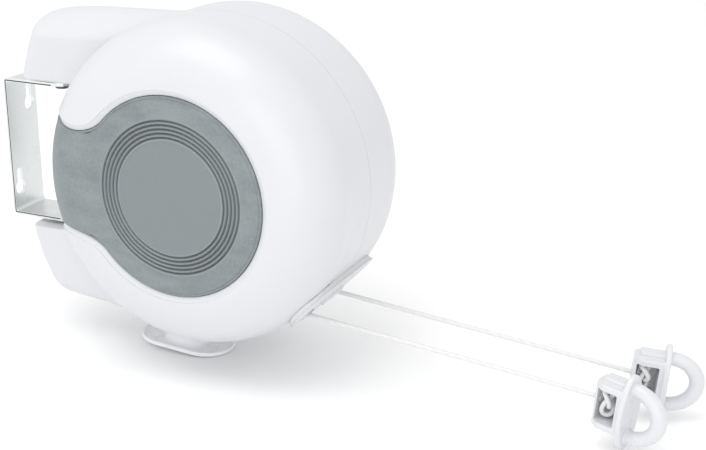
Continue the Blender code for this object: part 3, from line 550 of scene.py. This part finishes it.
def cover_outline(stop):
    """The cover's outline: evenly spaced angles and lengths, anticlockwise from its lower tail."""
    upper = tail_edge(*UPPER_TAIL, stop)
    lower = tail_edge(*LOWER_TAIL, stop)
    circle = np.radians(np.linspace(LOWER_TAIL[0], UPPER_TAIL[0], 200))
    back = np.linspace(upper[0][-1], lower[0][-1], 40)[1:-1]
    angles = np.concatenate((circle, upper[0][1:], back, lower[0][::-1][:-1]))
    straight = np.full(len(back), stop)
    round_part = np.full(len(circle), COVER_R)
    lengths = np.concatenate((round_part, upper[1][1:], straight, lower[1][::-1][:-1]))
    points = case_point(angles, lengths, 0)
    closed = np.vstack((points, points[:1]))
    walked = np.append(0, np.cumsum(np.linalg.norm(np.diff(closed, axis=0), axis=1)))
    turns = np.unwrap(np.append(angles, angles[0]))
    at = np.arange(COVER_POINTS) * walked[-1] / COVER_POINTS
    return np.interp(at, walked, turns), np.interp(at, walked, np.append(lengths, lengths[0]))


def outline_ring(outline, grow, depth):
    """The outline moved outwards along the surface, at a depth."""
    points = case_point(*outline, 0)
    along = np.roll(points, -1, 0) - np.roll(points, 1, 0)
    inward = case_point(*outline, 1) - points
    aside = np.cross(inward, along)
    aside /= np.linalg.norm(aside, axis=1, keepdims=True)
    angle, length = case_map(points + grow * aside)
    return case_point(angle, length, depth)


def patch(name, outline, rings, first, last):
    """A solid that follows the case's surface, from rings of (kind, value, depth).

    A "radius" ring is a circle, an "edge" ring is the outline moved outwards by its value, and a
    "share" ring lies that share of the way from a circle inside the cover to its border.
    """
    angle, length = outline
    core = COVER_R - 5
    layers = []
    for kind, value, depth in rings:
        if kind == "radius":
            layers.append(case_point(angle, np.full(len(angle), float(value)), depth))
        elif kind == "share":
            layers.append(case_point(angle, core + value * (length - BORDER - core), depth))
        else:
            layers.append(outline_ring(outline, value, depth))
    centre = [case_point(np.zeros(1), np.zeros(1), depth) for depth in (first, last)]
    points = np.concatenate((centre[0], *layers, centre[1]))
    obj = mesh_object(name, points, fan_faces(len(layers), len(angle)))
    edit_mesh(obj, lambda bm: bmesh.ops.recalc_face_normals(bm, faces=bm.faces))
    return obj


def mirror(obj):
    """Turns a left piece into a right one."""
    obj.data.transform(Matrix.Scale(-1, 4, (0, 1, 0)))
    obj.data.flip_normals()


# ---- materials ----


class Shader:
    """A material's node tree with short ways to add and link nodes."""

    def __init__(self, name, colour, roughness, metallic=0.0):
        self.material = bpy.data.materials.new(name)
        self.material.use_nodes = True
        self.nodes = self.material.node_tree.nodes
        self.links = self.material.node_tree.links
        self.main = self.nodes["Principled BSDF"]
        self.main.inputs["Base Color"].default_value = (*colour, 1)
        self.main.inputs["Roughness"].default_value = roughness
        self.main.inputs["Metallic"].default_value = metallic
        self.place = self.nodes.new("ShaderNodeTexCoord").outputs["Object"]

    def node(self, kind, settings=None, **inputs):
        """A node with its settings and inputs. An input is named, or numbered as _0, _1 and so on."""
        node = self.nodes.new("ShaderNode" + kind)
        for key, value in (settings or {}).items():
            setattr(node, key, value)
        for key, value in inputs.items():
            socket = node.inputs[int(key[1:])] if key[0] == "_" else node.inputs[key]
            if isinstance(value, bpy.types.NodeSocket):
                self.links.new(value, socket)
            else:
                socket.default_value = value
        return node

    def noise(self, scale, detail=3.0, stretch=(1, 1, 1)):
        """Noise over the object's own coordinates, in cells per metre."""
        place = self.node("Mapping", Vector=self.place, Scale=stretch).outputs[0]
        return self.node("TexNoise", Vector=place, Scale=scale, Detail=detail).outputs["Fac"]

    def spread(self, value, low, high, start=0.3, end=0.7):
        """A value brought from one range to another."""
        return self.node("MapRange", _0=value, _1=start, _2=end, _3=low, _4=high).outputs[0]

    def vary_roughness(self, value, low, high):
        """Roughness between two values by a noise."""
        self.links.new(self.spread(value, low, high), self.main.inputs["Roughness"])

    def vary_colour(self, value, dark, light):
        """Base colour between two colours by a value from 0 to 1."""
        mix = self.node("Mix", {"data_type": "RGBA"}, _0=value)
        mix.inputs[6].default_value = (*dark, 1)
        mix.inputs[7].default_value = (*light, 1)
        self.links.new(mix.outputs[2], self.main.inputs["Base Color"])

    def lay_over(self, value, colour):
        """Lays a colour over the base colour where a value is 1."""
        under = self.main.inputs["Base Color"].links[0].from_socket
        mix = self.node("Mix", {"data_type": "RGBA"}, _0=value, _6=under)
        mix.inputs[7].default_value = (*colour, 1)
        self.links.new(mix.outputs[2], self.main.inputs["Base Color"])

    def bump(self, height, strength, distance):
        """Fine relief from a height."""
        bump = self.node("Bump", Height=height, Strength=strength, Distance=distance)
        self.links.new(bump.outputs[0], self.main.inputs["Normal"])

    def near(self, low, high):
        """1 inside a radius round the drum's axis, fading to 0 between two radii."""
        centre = tuple(DRUM)
        offset = self.node("VectorMath", {"operation": "SUBTRACT"}, _0=self.place, _1=centre).outputs[0]
        flat = self.node("VectorMath", {"operation": "MULTIPLY"}, _0=offset, _1=(1, 0, 1)).outputs[0]
        radius = self.node("VectorMath", {"operation": "LENGTH"}, _0=flat).outputs["Value"]
        return self.spread(radius, 1, 0, low * MM, high * MM)


def white_plastic(name, colour, roughness):
    """Moulded white plastic: an even satin with a faint cast in its tone and a fine grain."""
    shader = Shader(name, colour, roughness)
    tone = shader.spread(shader.noise(38, 4), 0, 1)
    shader.vary_colour(tone, tuple(c * 0.985 for c in colour), colour)
    shader.vary_roughness(shader.noise(140, 5), roughness - 0.05, roughness + 0.06)
    shader.bump(shader.noise(1500, 2), 0.05, 0.00008)
    shader.main.inputs["Coat Weight"].default_value = 0.12
    shader.main.inputs["Coat Roughness"].default_value = 0.22
    return shader.material


def grey_plastic():
    """The covers: a smooth middle whose grooved ring is coloured lighter as a painted highlight on the
    ridges, and a clouded, finely textured border outside the grooves.
    """
    shader = Shader("grey_cover_plastic", (0.21, 0.24, 0.247), 0.45)
    middle = shader.near(42.3, 42.9)
    cloud = shader.noise(95, 6, (0.55, 1, 1.3))
    fine = shader.noise(620, 4)
    both = shader.node("Mix", {"data_type": "FLOAT"}, _0=0.35, _2=cloud, _3=fine).outputs[0]
    tone = shader.spread(both, 0, 1, 0.36, 0.62)
    calm = shader.node("Mix", {"data_type": "FLOAT"}, _0=middle, _2=tone, _3=0.3).outputs[0]
    # Painted highlight on the ridges: the grooved ring between about 30.9 and 42.3 mm is coloured lighter.
    inner = shader.near(30.5, 30.9)
    ridges = shader.node("Math", {"operation": "SUBTRACT"}, _0=middle, _1=inner).outputs[0]
    calm = shader.node("Math", {"operation": "MULTIPLY_ADD"}, _0=ridges, _1=0.9, _2=calm).outputs[0]
    grain = shader.spread(shader.noise(1400, 2), -0.1, 0.1)
    final = shader.node("Math", {"operation": "ADD"}, _0=calm, _1=grain).outputs[0]
    shader.vary_colour(final, (0.19, 0.219, 0.226), (0.25, 0.282, 0.289))
    shader.main.inputs["Specular IOR Level"].default_value = 0.4
    shader.vary_roughness(cloud, 0.4, 0.55)
    shader.bump(shader.noise(900, 4), 0.16, 0.00018)
    return shader.material


def metal(name, colour, roughness, stretch):
    """Drawn or turned metal: fine lines along the work."""
    shader = Shader(name, colour, roughness, 1.0)
    lines = shader.noise(260, 6, stretch)
    shader.vary_roughness(lines, roughness - 0.08, roughness + 0.1)
    shader.vary_colour(shader.spread(lines, 0, 1), tuple(c * 0.9 for c in colour), colour)
    shader.bump(lines, 0.06, 0.0001)
    return shader.material


def dark_edge_line(shader):
    """1 along a thin dark line on the strap's two cut edges."""

    def math_node(operation, *values):
        inputs = {f"_{i}": value for i, value in enumerate(values)}
        return shader.node("Math", {"operation": operation}, **inputs).outputs[0]

    x, y, z = shader.node("SeparateXYZ", _0=shader.place).outputs
    in_arm = math_node("SUBTRACT", STRAP_TOP * MM, math_node("ABSOLUTE", z))
    depth = math_node("MINIMUM", x, in_arm)
    line = math_node("COMPARE", depth, EDGE_LINE_DEPTH * MM, EDGE_LINE_HALF_WIDTH * MM)
    on_edge = math_node("GREATER_THAN", math_node("ABSOLUTE", y), STRAP_EDGE * MM)
    return math_node("MULTIPLY", line, on_edge)


def zinc_plate():
    """The bracket's bright zinc: a soft spangle, faint rolling lines and a thin dark line along its cut
    edges.
    """
    shader = Shader("zinc_plated_strap", (0.8, 0.82, 0.82), 0.3, 1.0)
    spangle = shader.noise(120, 5, (1, 1, 0.6))
    rolled = shader.noise(900, 3, (1, 1, 0.04))
    shader.vary_colour(shader.spread(spangle, 0, 1), (0.7, 0.73, 0.73), (0.86, 0.87, 0.87))
    # A thin dark line is coloured along the strap's two cut edges, this deep from its outer face.
    shader.lay_over(dark_edge_line(shader), (0.1, 0.1, 0.1))
    shader.vary_roughness(spangle, 0.24, 0.4)
    shader.bump(rolled, 0.08, 0.0001)
    return shader.material


def line_cover():
    """The lines' white jacket, with the faint twist of the cord inside it."""
    shader = Shader("white_line_jacket", (0.74, 0.74, 0.74), 0.5)
    twist = shader.node(
        "TexWave", {"bands_direction": "DIAGONAL"}, Vector=shader.place, Scale=110, Distortion=0.6
    ).outputs["Fac"]
    shader.vary_colour(shader.spread(twist, 0, 1, 0, 1), (0.72, 0.72, 0.72), (0.75, 0.75, 0.75))
    shader.vary_roughness(shader.noise(500, 3), 0.42, 0.58)
    shader.bump(twist, 0.03, 0.00008)
    return shader.material


def wound_line():
    """The line wound on the drum: one ridge for each turn across its width, with painted shade darkening
    the grooves between turns.
    """
    shader = Shader("wound_line", (0.86, 0.86, 0.85), 0.6)
    turns = shader.node("TexWave", {"bands_direction": "Y"}, Vector=shader.place, Scale=65).outputs["Fac"]
    # Painted shade: the bands that raise each turn also colour the grooves between turns darker.
    shader.vary_colour(turns, (0.6, 0.6, 0.59), (0.87, 0.87, 0.86))
    shader.bump(turns, 0.6, 0.0008)
    return shader.material


WHITE = white_plastic("white_case_plastic", (0.665, 0.675, 0.7), 0.34)
SOFT_WHITE = white_plastic("white_fitting_plastic", (0.68, 0.69, 0.715), 0.3)
# Painted light: the line lock's white is the case's plastic coloured far lighter, to offset the shade that
# the case casts on it.
LOCK_WHITE_PAINTED_LIGHT = white_plastic("white_lock_plastic_painted_light", (0.9, 0.905, 0.925), 0.3)
NYLON = white_plastic("natural_nylon", (0.7, 0.69, 0.65), 0.42)
GREY = grey_plastic()
ZINC = zinc_plate()
STEEL = metal("turned_steel", (0.62, 0.64, 0.65), 0.28, (0.2, 1, 1))
DARK_STEEL = metal("oiled_dark_steel", (0.16, 0.16, 0.17), 0.34, (1, 1, 0.2))
BRASS = metal("turned_brass", (0.72, 0.55, 0.25), 0.3, (1, 0.2, 1))
LINE = line_cover()
WOUND = wound_line()

NODE_MATERIALS = {
    "wall_bracket": ZINC,
    "upper_pivot_pin": DARK_STEEL,
    "lower_pivot_pin": DARK_STEEL,
    "power_spring": DARK_STEEL,
    "upper_pivot_washer": NYLON,
    "lower_pivot_washer": NYLON,
    "left_eyelet": SOFT_WHITE,
    "right_eyelet": SOFT_WHITE,
    "line_drum": SOFT_WHITE,
    "spring_lid": GREY,
    "spring_arbor": GREY,
    "left_drum_bush": BRASS,
    "right_drum_bush": BRASS,
    "left_line_coil": WOUND,
    "right_line_coil": WOUND,
}


def dress_cad_nodes():
    """Gives each CAD node its material, steel for the axle and screws, and eases the sharp edges."""
    for name, node in frame["nodes"].items():
        node.data.materials.clear()
        node.data.materials.append(NODE_MATERIALS.get(name, STEEL))
    for name, width in (("wall_bracket", 0.35), ("left_eyelet", 0.3), ("right_eyelet", 0.3)):
        bevel = frame["nodes"][name].modifiers.new("eased_edges", "BEVEL")
        bevel.width = width * MM
        bevel.segments = 2
        bevel.limit_method = "ANGLE"
        bevel.angle_limit = math.radians(50)


def finish_piece(obj, material, body, slot, *nodes):
    """Gives a piece its material, its body and the CAD nodes that it stands for. The slot is not used."""
    obj.data.materials.clear()
    obj.data.materials.append(material)
    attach(obj, body)
    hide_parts(*nodes)


# ---- case ----


def post_places():
    """Centres of the body's screw posts, x and z."""
    angles = [math.radians(angle) for angle in POST_ANGLES]
    return [(POST_CIRCLE_R * math.cos(a), POST_CIRCLE_R * math.sin(a)) for a in angles]


def chamber(sign):
    """The space inside one shell: the drum's room round its bosses and posts, and the pockets."""
    radius = SHOULDER_R - WALL
    bends = np.linspace(0, math.pi / 2, 8)
    arc = [(FLAT_R + radius * math.sin(a), sign * (STRAIGHT + radius * math.cos(a))) for a in bends]
    end = CASE_HALF_WIDTH - WALL
    room = turned("room", [(0, sign * end), *arc, (CASE_R - WALL, -sign), (0, -sign)])
    edit_mesh(room, lambda bm: bmesh.ops.recalc_face_normals(bm, faces=bm.faces))
    posts = [cylinder((0, sign * AXLE_BOSS_Y, 0), (0, sign * 70, 0), AXLE_BOSS_R)]
    posts += [cylinder((x, -70, z), (x, 70, z), POST_R, 20) for x, z in post_places()]
    cut(room, posts)
    pockets = []
    for high in (1, -1):
        y_span = sorted(sign * y for y in POCKET_Y)
        z_span = sorted(high * z for z in POCKET_Z)
        x, z = LOBE_SCREW
        posts = [
            cylinder((PIVOT_X, 0, -99), (PIVOT_X, 0, 99), PIN_BOSS_R),
            cylinder((x, -30, high * z), (x, 30, high * z), POST_R, 20),
        ]
        pockets.append(cut(box(POCKET_X, y_span, z_span), posts))
    return [room, *pockets]


def bores(side, sign):
    """The holes of one shell: pins, axle, line and the case screws."""
    holes = [cylinder((PIVOT_X, 0, low), (PIVOT_X, 0, high), PIN_BORE_R) for low, high in PIN_BORES]
    start, end = AXLE_BORE
    holes.append(cylinder((0, sign * start, 0), (0, sign * end, 0), AXLE_BORE_R))
    holes.append(eyelet_bore(sign))
    places = [(x, z, SCREW_HEADS["body"]) for x, z in post_places()]
    places += [(LOBE_SCREW[0], LOBE_SCREW[1] * high, SCREW_HEADS["lobe"]) for high in (1, -1)]
    for x, z, head in places:
        if side == "left":
            holes.append(cylinder((x, -SCREW_DEPTH, z), (x, 2, z), SCREW_BORE_R, 20))
        else:
            holes.append(cylinder((x, -2, z), (x, head, z), SCREW_BORE_R, 20))
            holes.append(cylinder((x, head - 0.01, z), (x, 62, z), COUNTERBORE_R))
    return holes


def line_height(x):
    """Height of the lines at a distance in front of the drum's axis."""
    drop = math.atan2(-LINE_AXIS.z, LINE_AXIS.x)
    return -(LINE_DRUM_R + x * math.sin(drop)) / math.cos(drop)


def eyelet_bore(sign):
    """A cylinder along one line, through the case's wall and the outlet plate."""
    at = Vector((OUTLET_X, sign * LINE_Y, line_height(OUTLET_X)))
    return cylinder(at - LINE_AXIS * 30, at + LINE_AXIS * 12, EYELET_R, 40)


def half_case():
    """Points and faces of the left half of the case, open past the seam."""
    low = (-124, -CASE_HALF_WIDTH - 2, -CASE_R - 2)
    high = (CASE_R + 2, 2.5, CASE_R + 2)
    return surface_net(case_field, low, high, SHELL_CELL)


def close_at_seam(bm):
    """Cuts the mesh at the seam and closes it with one flat face."""
    geometry = [*bm.verts, *bm.edges, *bm.faces]
    bmesh.ops.bisect_plane(
        bm, geom=geometry, dist=1e-7, plane_co=(0, -SEAM * MM, 0), plane_no=(0, 1, 0), clear_outer=True
    )
    rim = [edge for edge in bm.edges if edge.is_boundary]
    bmesh.ops.contextual_create(bm, geom=rim)


def recess():
    """What a shell loses to seat its cover, with the stepped and bevelled lip round it."""
    outline = cover_outline(SEAM_LENGTH + 5)
    shares = (0.02, 0.3, 0.5, 0.75, 1)
    outside, floor = -3, COVER_BACK + GAP
    rings = [("radius", 30, outside), *[("share", share, outside) for share in shares]]
    rings += [("edge", LIP_WIDTH, -LIP_RIM), ("edge", LIP_WIDTH, LIP_STEP)]
    rings += [("edge", GAP, LIP_DEPTH), ("edge", GAP, floor)]
    rings += [("share", share, floor) for share in reversed(shares)]
    rings.append(("radius", 30, floor))
    return patch("recess", outline, rings, outside, floor)


def make_shells():
    """Both shells, each with its cover's recess, its room and its bores."""
    points, faces = half_case()
    for side, sign in SIDES.items():
        shell = mesh_object(f"{side}_case_shell", points, faces)
        edit_mesh(shell, close_at_seam)
        seat = recess()
        if sign > 0:
            mirror(shell)
            mirror(seat)
        cut(shell, [seat, *chamber(sign)])
        cut(shell, bores(side, sign))
        true_normals(shell, case_field)
        finish_piece(shell, WHITE, "case", "white_plastic", f"{side}_shell")


def groove_rings():
    """The ring grooves, each a narrow channel, with rounded ridges standing between them."""
    channel = ((-1, 0), (-0.8, 0.2), (-0.5, 0.85), (0, 1), (0.5, 0.85), (0.8, 0.2), (1, 0))
    rings = [("radius", 30.2, COVER_DEPTH), ("radius", 30.8, COVER_DEPTH - RIDGE_RISE * 0.7)]
    for middle in GROOVE_R:
        for share, drop in channel:
            radius = middle + share * GROOVE_HALF_WIDTH
            rings.append(("radius", radius, COVER_DEPTH + drop * GROOVE_DEPTH))
        rings.append(("radius", middle + 1.1, COVER_DEPTH - RIDGE_RISE))
    rings[-1] = ("radius", 42.2, COVER_DEPTH - RIDGE_RISE * 0.7)
    return rings


def cover_border():
    """The cover's border: a small channel, a raised bead and a rounded drop into the gap."""
    channel = ((-1.75, 0), (-1.6, 0.18), (-1.35, 0.18), (-1.2, 0))
    bead = ((-0.85, -0.14), (-0.5, -0.08), (-0.2, 0.15), (0, 0.7))
    rings = [("edge", grow, COVER_DEPTH + drop) for grow, drop in channel + bead]
    return [*rings, ("edge", 0, COVER_BACK)]


def make_covers():
    """Both covers, from one outline and one set of rings."""
    outline = cover_outline(SEAM_LENGTH - 0.5)
    shares = np.linspace(0, 1, 22)
    rings = [("radius", r, COVER_DEPTH) for r in (8, 16, 24, 29)]
    rings += groove_rings() + [("radius", r, COVER_DEPTH) for r in (42.8, 44.5, 46.8)]
    rings += [("share", share, COVER_DEPTH) for share in shares] + cover_border()
    rings += [("share", share, COVER_BACK) for share in (1, 0.75, 0.5, 0.25, 0)]
    rings.append(("radius", 25, COVER_BACK))
    for side, sign in SIDES.items():
        cover = patch(f"{side}_side_cover", outline, rings, COVER_DEPTH, COVER_BACK)
        if sign > 0:
            mirror(cover)
        shade(cover, 40)
        finish_piece(cover, GREY, "case", "grey_plastic", f"{side}_cover")


# ---- outlet plate and cleat ----


def outlet_field(u, v, w):
    """The outlet plate in its own frame: u along the case's width, v up its face, w out of it."""
    lip = oval_plate(u, v, w, OUTLET_LIP, 0.4)
    wall = oval_plate(u, v, w, OUTLET_WALL, 0.2)
    pad = oval_plate(u, v + 2, w, OUTLET_PAD, 0.7)
    plate = round_min(round_min(lip, wall, 0.3), pad, 0.5)
    out, up = math.cos(OUTLET_TILT), math.sin(OUTLET_TILT)
    x, z = (w + OUTLET_FACE) * out + v * up, -(w + OUTLET_FACE) * up + v * out
    run = (x - OUTLET_X) * LINE_AXIS.z - (z - line_height(OUTLET_X)) * LINE_AXIS.x
    for sign in (-1, 1):
        hole = np.hypot(run, u - sign * LINE_Y) - EYELET_R
        plate = np.maximum(plate, -hole)
    return np.maximum(plate, OUTLET_SEAT - body_field(x, u, z))


def make_outlet():
    """The plate that both lines leave through."""
    out, up = math.cos(OUTLET_TILT), math.sin(OUTLET_TILT)
    place = Matrix(((0, up, out, 0), (1, 0, 0, 0), (0, out, -up, 0), (0, 0, 0, 1)))
    place.translation = DRUM + Vector((out, 0, -up)) * OUTLET_FACE * MM
    points, faces = surface_net(outlet_field, (-40, -19, -11), (40, 19, 3), OUTLET_CELL)
    plate = mesh_object("outlet_face_plate", points, faces, place)
    shade(plate, 45)
    finish_piece(plate, WHITE, "case", "white_plastic", "outlet_plate")


def cleat_field(x, y, z):
    """The dished oval of the line lock on its stem, in its own tilted frame."""
    length, width, floor = CLEAT_HOLLOW
    hollow = round_max(stadium(x, y, length, width), floor - z, 0.9)
    dish = round_max(oval_plate(x, y, z, CLEAT_DISH, 0.9), -hollow, 0.7)
    length, width, bottom, top = CLEAT_STEM
    stem = np.maximum(stadium(x, y, length, width), slab(z, bottom, top))
    cleat = round_min(dish, stem, 2.5)
    for sign in (-1, 1):
        sink = np.maximum(np.hypot(x, y - sign * CLEAT_SCREW_Y) - COUNTERBORE_R, z - CLEAT_SCREW_SEAT)
        cleat = np.maximum(cleat, -sink)
    lean, level = math.sin(CLEAT_TILT), math.cos(CLEAT_TILT)
    case_x = CLEAT_PLACE[0] + x * level + z * lean
    case_z = CLEAT_PLACE[2] - x * lean + z * level
    return np.maximum(cleat, GAP - case_field(case_x, y, case_z))


def make_cleat():
    """The line lock below the case."""
    shift = Matrix.Translation(Vector(CLEAT_PLACE) * MM)
    place = CASE_PLACE @ shift @ Matrix.Rotation(CLEAT_TILT, 4, "Y")
    points, faces = surface_net(cleat_field, (-31, -19, -3), (31, 19, 26), CLEAT_CELL)
    cleat = mesh_object("line_lock", points, faces, place)
    shade(cleat, 45)
    # The lock's lighter white is painted light against the shade under the case.
    finish_piece(cleat, LOCK_WHITE_PAINTED_LIGHT, "case", "white_plastic", "line_lock_cleat")


# ---- lines and end fittings: a fitting's x runs along its line, from the back of the end plate ----


def ring_bar(x, y, z):
    """The D-shaped ring: a round bar, thickest at its outermost point."""
    turns = np.radians(np.linspace(90, -90, 25))
    reach, height = RING_BOW
    root_r, tip_r = RING_R
    path = []
    for a in turns:
        radius = root_r + (tip_r - root_r) * math.cos(a) ** 2
        path.append((RING_STRAIGHT + reach * math.cos(a), height * math.sin(a) - PLATE_DROP, radius))
    root_x = PLATE[2] / 2
    path = [(root_x, height - PLATE_DROP, root_r), *path, (root_x, -height - PLATE_DROP, root_r)]
    nearest = np.full(np.shape(x), 1e3)
    for (x0, z0, r0), (x1, z1, r1) in zip(path, path[1:]):
        span = (x1 - x0) ** 2 + (z1 - z0) ** 2
        share = np.clip(((x - x0) * (x1 - x0) + (z - z0) * (z1 - z0)) / span, 0, 1)
        along, up = x - x0 - share * (x1 - x0), z - z0 - share * (z1 - z0)
        away = np.sqrt(along**2 + y**2 + up**2)
        nearest = np.minimum(nearest, away - (r0 + share * (r1 - r0)))
    return nearest


def fitting_field(x, y, z):
    """One end fitting: oval plate, box with its window, rib and ring."""
    width, height, thickness = PLATE
    across, up = y / width, (z + PLATE_DROP) / height
    outline = (np.hypot(across, up) - 1) * width / np.maximum(np.hypot(across, 0.5 * up), 0.5)
    plate = round_max(outline, slab(x, 0, thickness), 0.9)
    taper = (np.abs(y) - BOX[1][1] - (x - TAPER_X) * TAPER) * 0.76
    box_part = round_max(rounded_box(x, y, z, *BOX, 0.9), taper, 0.8)
    rib = rounded_box(x, y, z, *RIB, 0.9)
    fitting = round_min(round_min(box_part, rib, 0.8), plate, 0.7)
    fitting = round_min(fitting, round_max(ring_bar(x, y, z), 1 - x, 0.3), 1.0)
    window = rounded_box(x, y, z, *WINDOW, 0.8)
    hole = np.maximum(np.hypot(y, z) - LINE_HOLE_R, x - KNOT_X)
    return round_max(np.maximum(fitting, -hole), -window, 0.4)


def fitting_place(side, sign):
    """The back of a fitting's end plate, turned about the point where the line enters."""
    drop = math.atan2(-LINE_AXIS.z, LINE_AXIS.x)
    outlet = Vector((OUTLET_X, sign * LINE_Y, line_height(OUTLET_X))) * MM
    entry = Matrix.Translation(DRUM + outlet + LINE_AXIS * (REACH[side] + FITTING_ENTRY) * MM)
    turn = Matrix.Rotation(drop, 4, "Y") @ Matrix.Rotation(FITTING_YAW[side], 4, "Z")
    return entry @ turn @ Matrix.Translation((-FITTING_ENTRY * MM, 0, 0))


def knot_path():
    """The stopper knot's centreline: a trefoil lying across the line, open at one place."""
    turns = np.linspace(0.35, math.tau - 0.1, 72)
    x = -np.sin(3 * turns)
    y = np.sin(turns) + 2 * np.sin(2 * turns)
    z = np.cos(turns) - 2 * np.cos(2 * turns)
    return np.stack((x, y, z), 1) * KNOT_SCALE + KNOT_SHIFT


def tube(name, path, radius, place):
    """A round bar along a path of points, with flat ends."""
    curve = bpy.data.curves.new(name, "CURVE")
    curve.dimensions = "3D"
    curve.bevel_depth = radius * MM
    curve.bevel_resolution = 4
    curve.use_fill_caps = True
    spline = curve.splines.new("POLY")
    spline.points.add(len(path) - 1)
    for point, at in zip(spline.points, path):
        point.co = (*(np.array(at) * MM), 1)
    holder = bpy.data.objects.new(name + "_curve", curve)
    bpy.context.scene.collection.objects.link(holder)
    bpy.context.view_layer.update()
    graph = bpy.context.evaluated_depsgraph_get()
    mesh = bpy.data.meshes.new_from_object(holder.evaluated_get(graph))
    bpy.data.objects.remove(holder)
    mesh.transform(place)
    mesh.name = name
    obj = bpy.data.objects.new(name, mesh)
    bpy.context.scene.collection.objects.link(obj)
    edit_mesh(obj, lambda bm: bmesh.ops.remove_doubles(bm, verts=bm.verts, dist=1e-6))
    shade(obj, 60)
    return obj


def make_line(side, sign, place):
    """The straight run of a line."""
    down = Vector((LINE_AXIS.z, 0, -LINE_AXIS.x))
    foot = DRUM + Vector((0, sign * LINE_Y * MM, 0)) + down * LINE_DRUM_R * MM
    entry = place @ Vector((FITTING_ENTRY * MM, 0, 0))
    length = (entry - foot).length / MM + WINDOW[0][0] - FITTING_ENTRY
    path = [(share * length, 0, 0) for share in np.linspace(0, 1, 60)]
    turn = Matrix.Rotation(math.atan2(-LINE_AXIS.z, LINE_AXIS.x), 4, "Y")
    line = tube(f"{side}_line_run", path, LINE_R, Matrix.Translation(foot) @ turn)
    finish_piece(line, LINE, "case", "white_line", f"{side}_line")
    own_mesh(line)


def make_line_ends():
    """The fittings, their knots and the straight runs of line."""
    points, faces = surface_net(fitting_field, (-18, -12, -24.5), (26, 12, 20.5), FITTING_CELL)
    for side, sign in SIDES.items():
        place = fitting_place(side, sign)
        fitting = mesh_object(f"{side}_line_fitting", points, faces, place)
        true_normals(fitting, fitting_field, place, 0.94)
        finish_piece(fitting, SOFT_WHITE, f"{side}_line_end", "white_plastic", f"{side}_end_fitting")
        knot_place = place @ Matrix.Translation((KNOT_X * MM, 0, 0))
        knot = tube(f"{side}_stopper_knot", knot_path(), LINE_R, knot_place)
        finish_piece(knot, LINE, f"{side}_line_end", "white_line", f"{side}_knot")
        make_line(side, sign, place)


# ---- stage ----


def make_stage():
    """A white floor at the object's lowest point, soft light all round and two wide lamps."""
    bm = bmesh.new()
    bmesh.ops.create_grid(bm, x_segments=1, y_segments=1, size=6)
    mesh = bpy.data.meshes.new("floor")
    bm.to_mesh(mesh)
    bm.free()
    floor = bpy.data.objects.new("floor", mesh)
    floor.location = (0.2, 0, cad_bounds[0][2] - 0.0002)
    bpy.context.scene.collection.objects.link(floor)
    shader = Shader("white_floor", (0.97, 0.97, 0.97), 0.9)
    shader.vary_roughness(shader.noise(4, 2), 0.85, 0.95)
    mesh.materials.append(shader.material)
    world = bpy.data.worlds.new("studio")
    world.use_nodes = True
    world.node_tree.nodes["Background"].inputs["Color"].default_value = (1, 1, 1, 1)
    world.node_tree.nodes["Background"].inputs["Strength"].default_value = 0.93
    bpy.context.scene.world = world
    lamp("key", (-0.1, -0.65, 1.7), 1.3, 11)
    lamp("front", (0.7, -1.35, 0.35), 1.0, 4)


def lamp(name, place, size, power):
    """A square area lamp aimed at the case."""
    light = bpy.data.lights.new(name, "AREA")
    light.size = size
    light.energy = power
    obj = bpy.data.objects.new(name, light)
    obj.location = place
    obj.rotation_euler = (Vector(place) - DRUM).to_track_quat("Z", "Y").to_euler()
    bpy.context.scene.collection.objects.link(obj)


def make_camera():
    """The camera at the photograph's viewing angle: 25 degrees round, 19 degrees up."""
    camera = bpy.data.cameras.new("camera")
    camera.lens = 68.1
    camera.sensor_width = 36
    obj = bpy.data.objects.new("camera", camera)
    back = Vector(CAMERA_BACK).normalized()
    right = Vector(CAMERA_RIGHT)
    right = (right - back * right.dot(back)).normalized()
    turn = Matrix((right, back.cross(right), back)).transposed()
    obj.matrix_world = Matrix.Translation(CAMERA_PLACE) @ turn.to_4x4()
    bpy.context.scene.collection.objects.link(obj)
    bpy.context.scene.camera = obj
    bpy.context.scene.view_settings.view_transform = "Standard"


dress_cad_nodes()
make_shells()
make_covers()
make_outlet()
make_cleat()
make_line_ends()
make_stage()
make_camera()
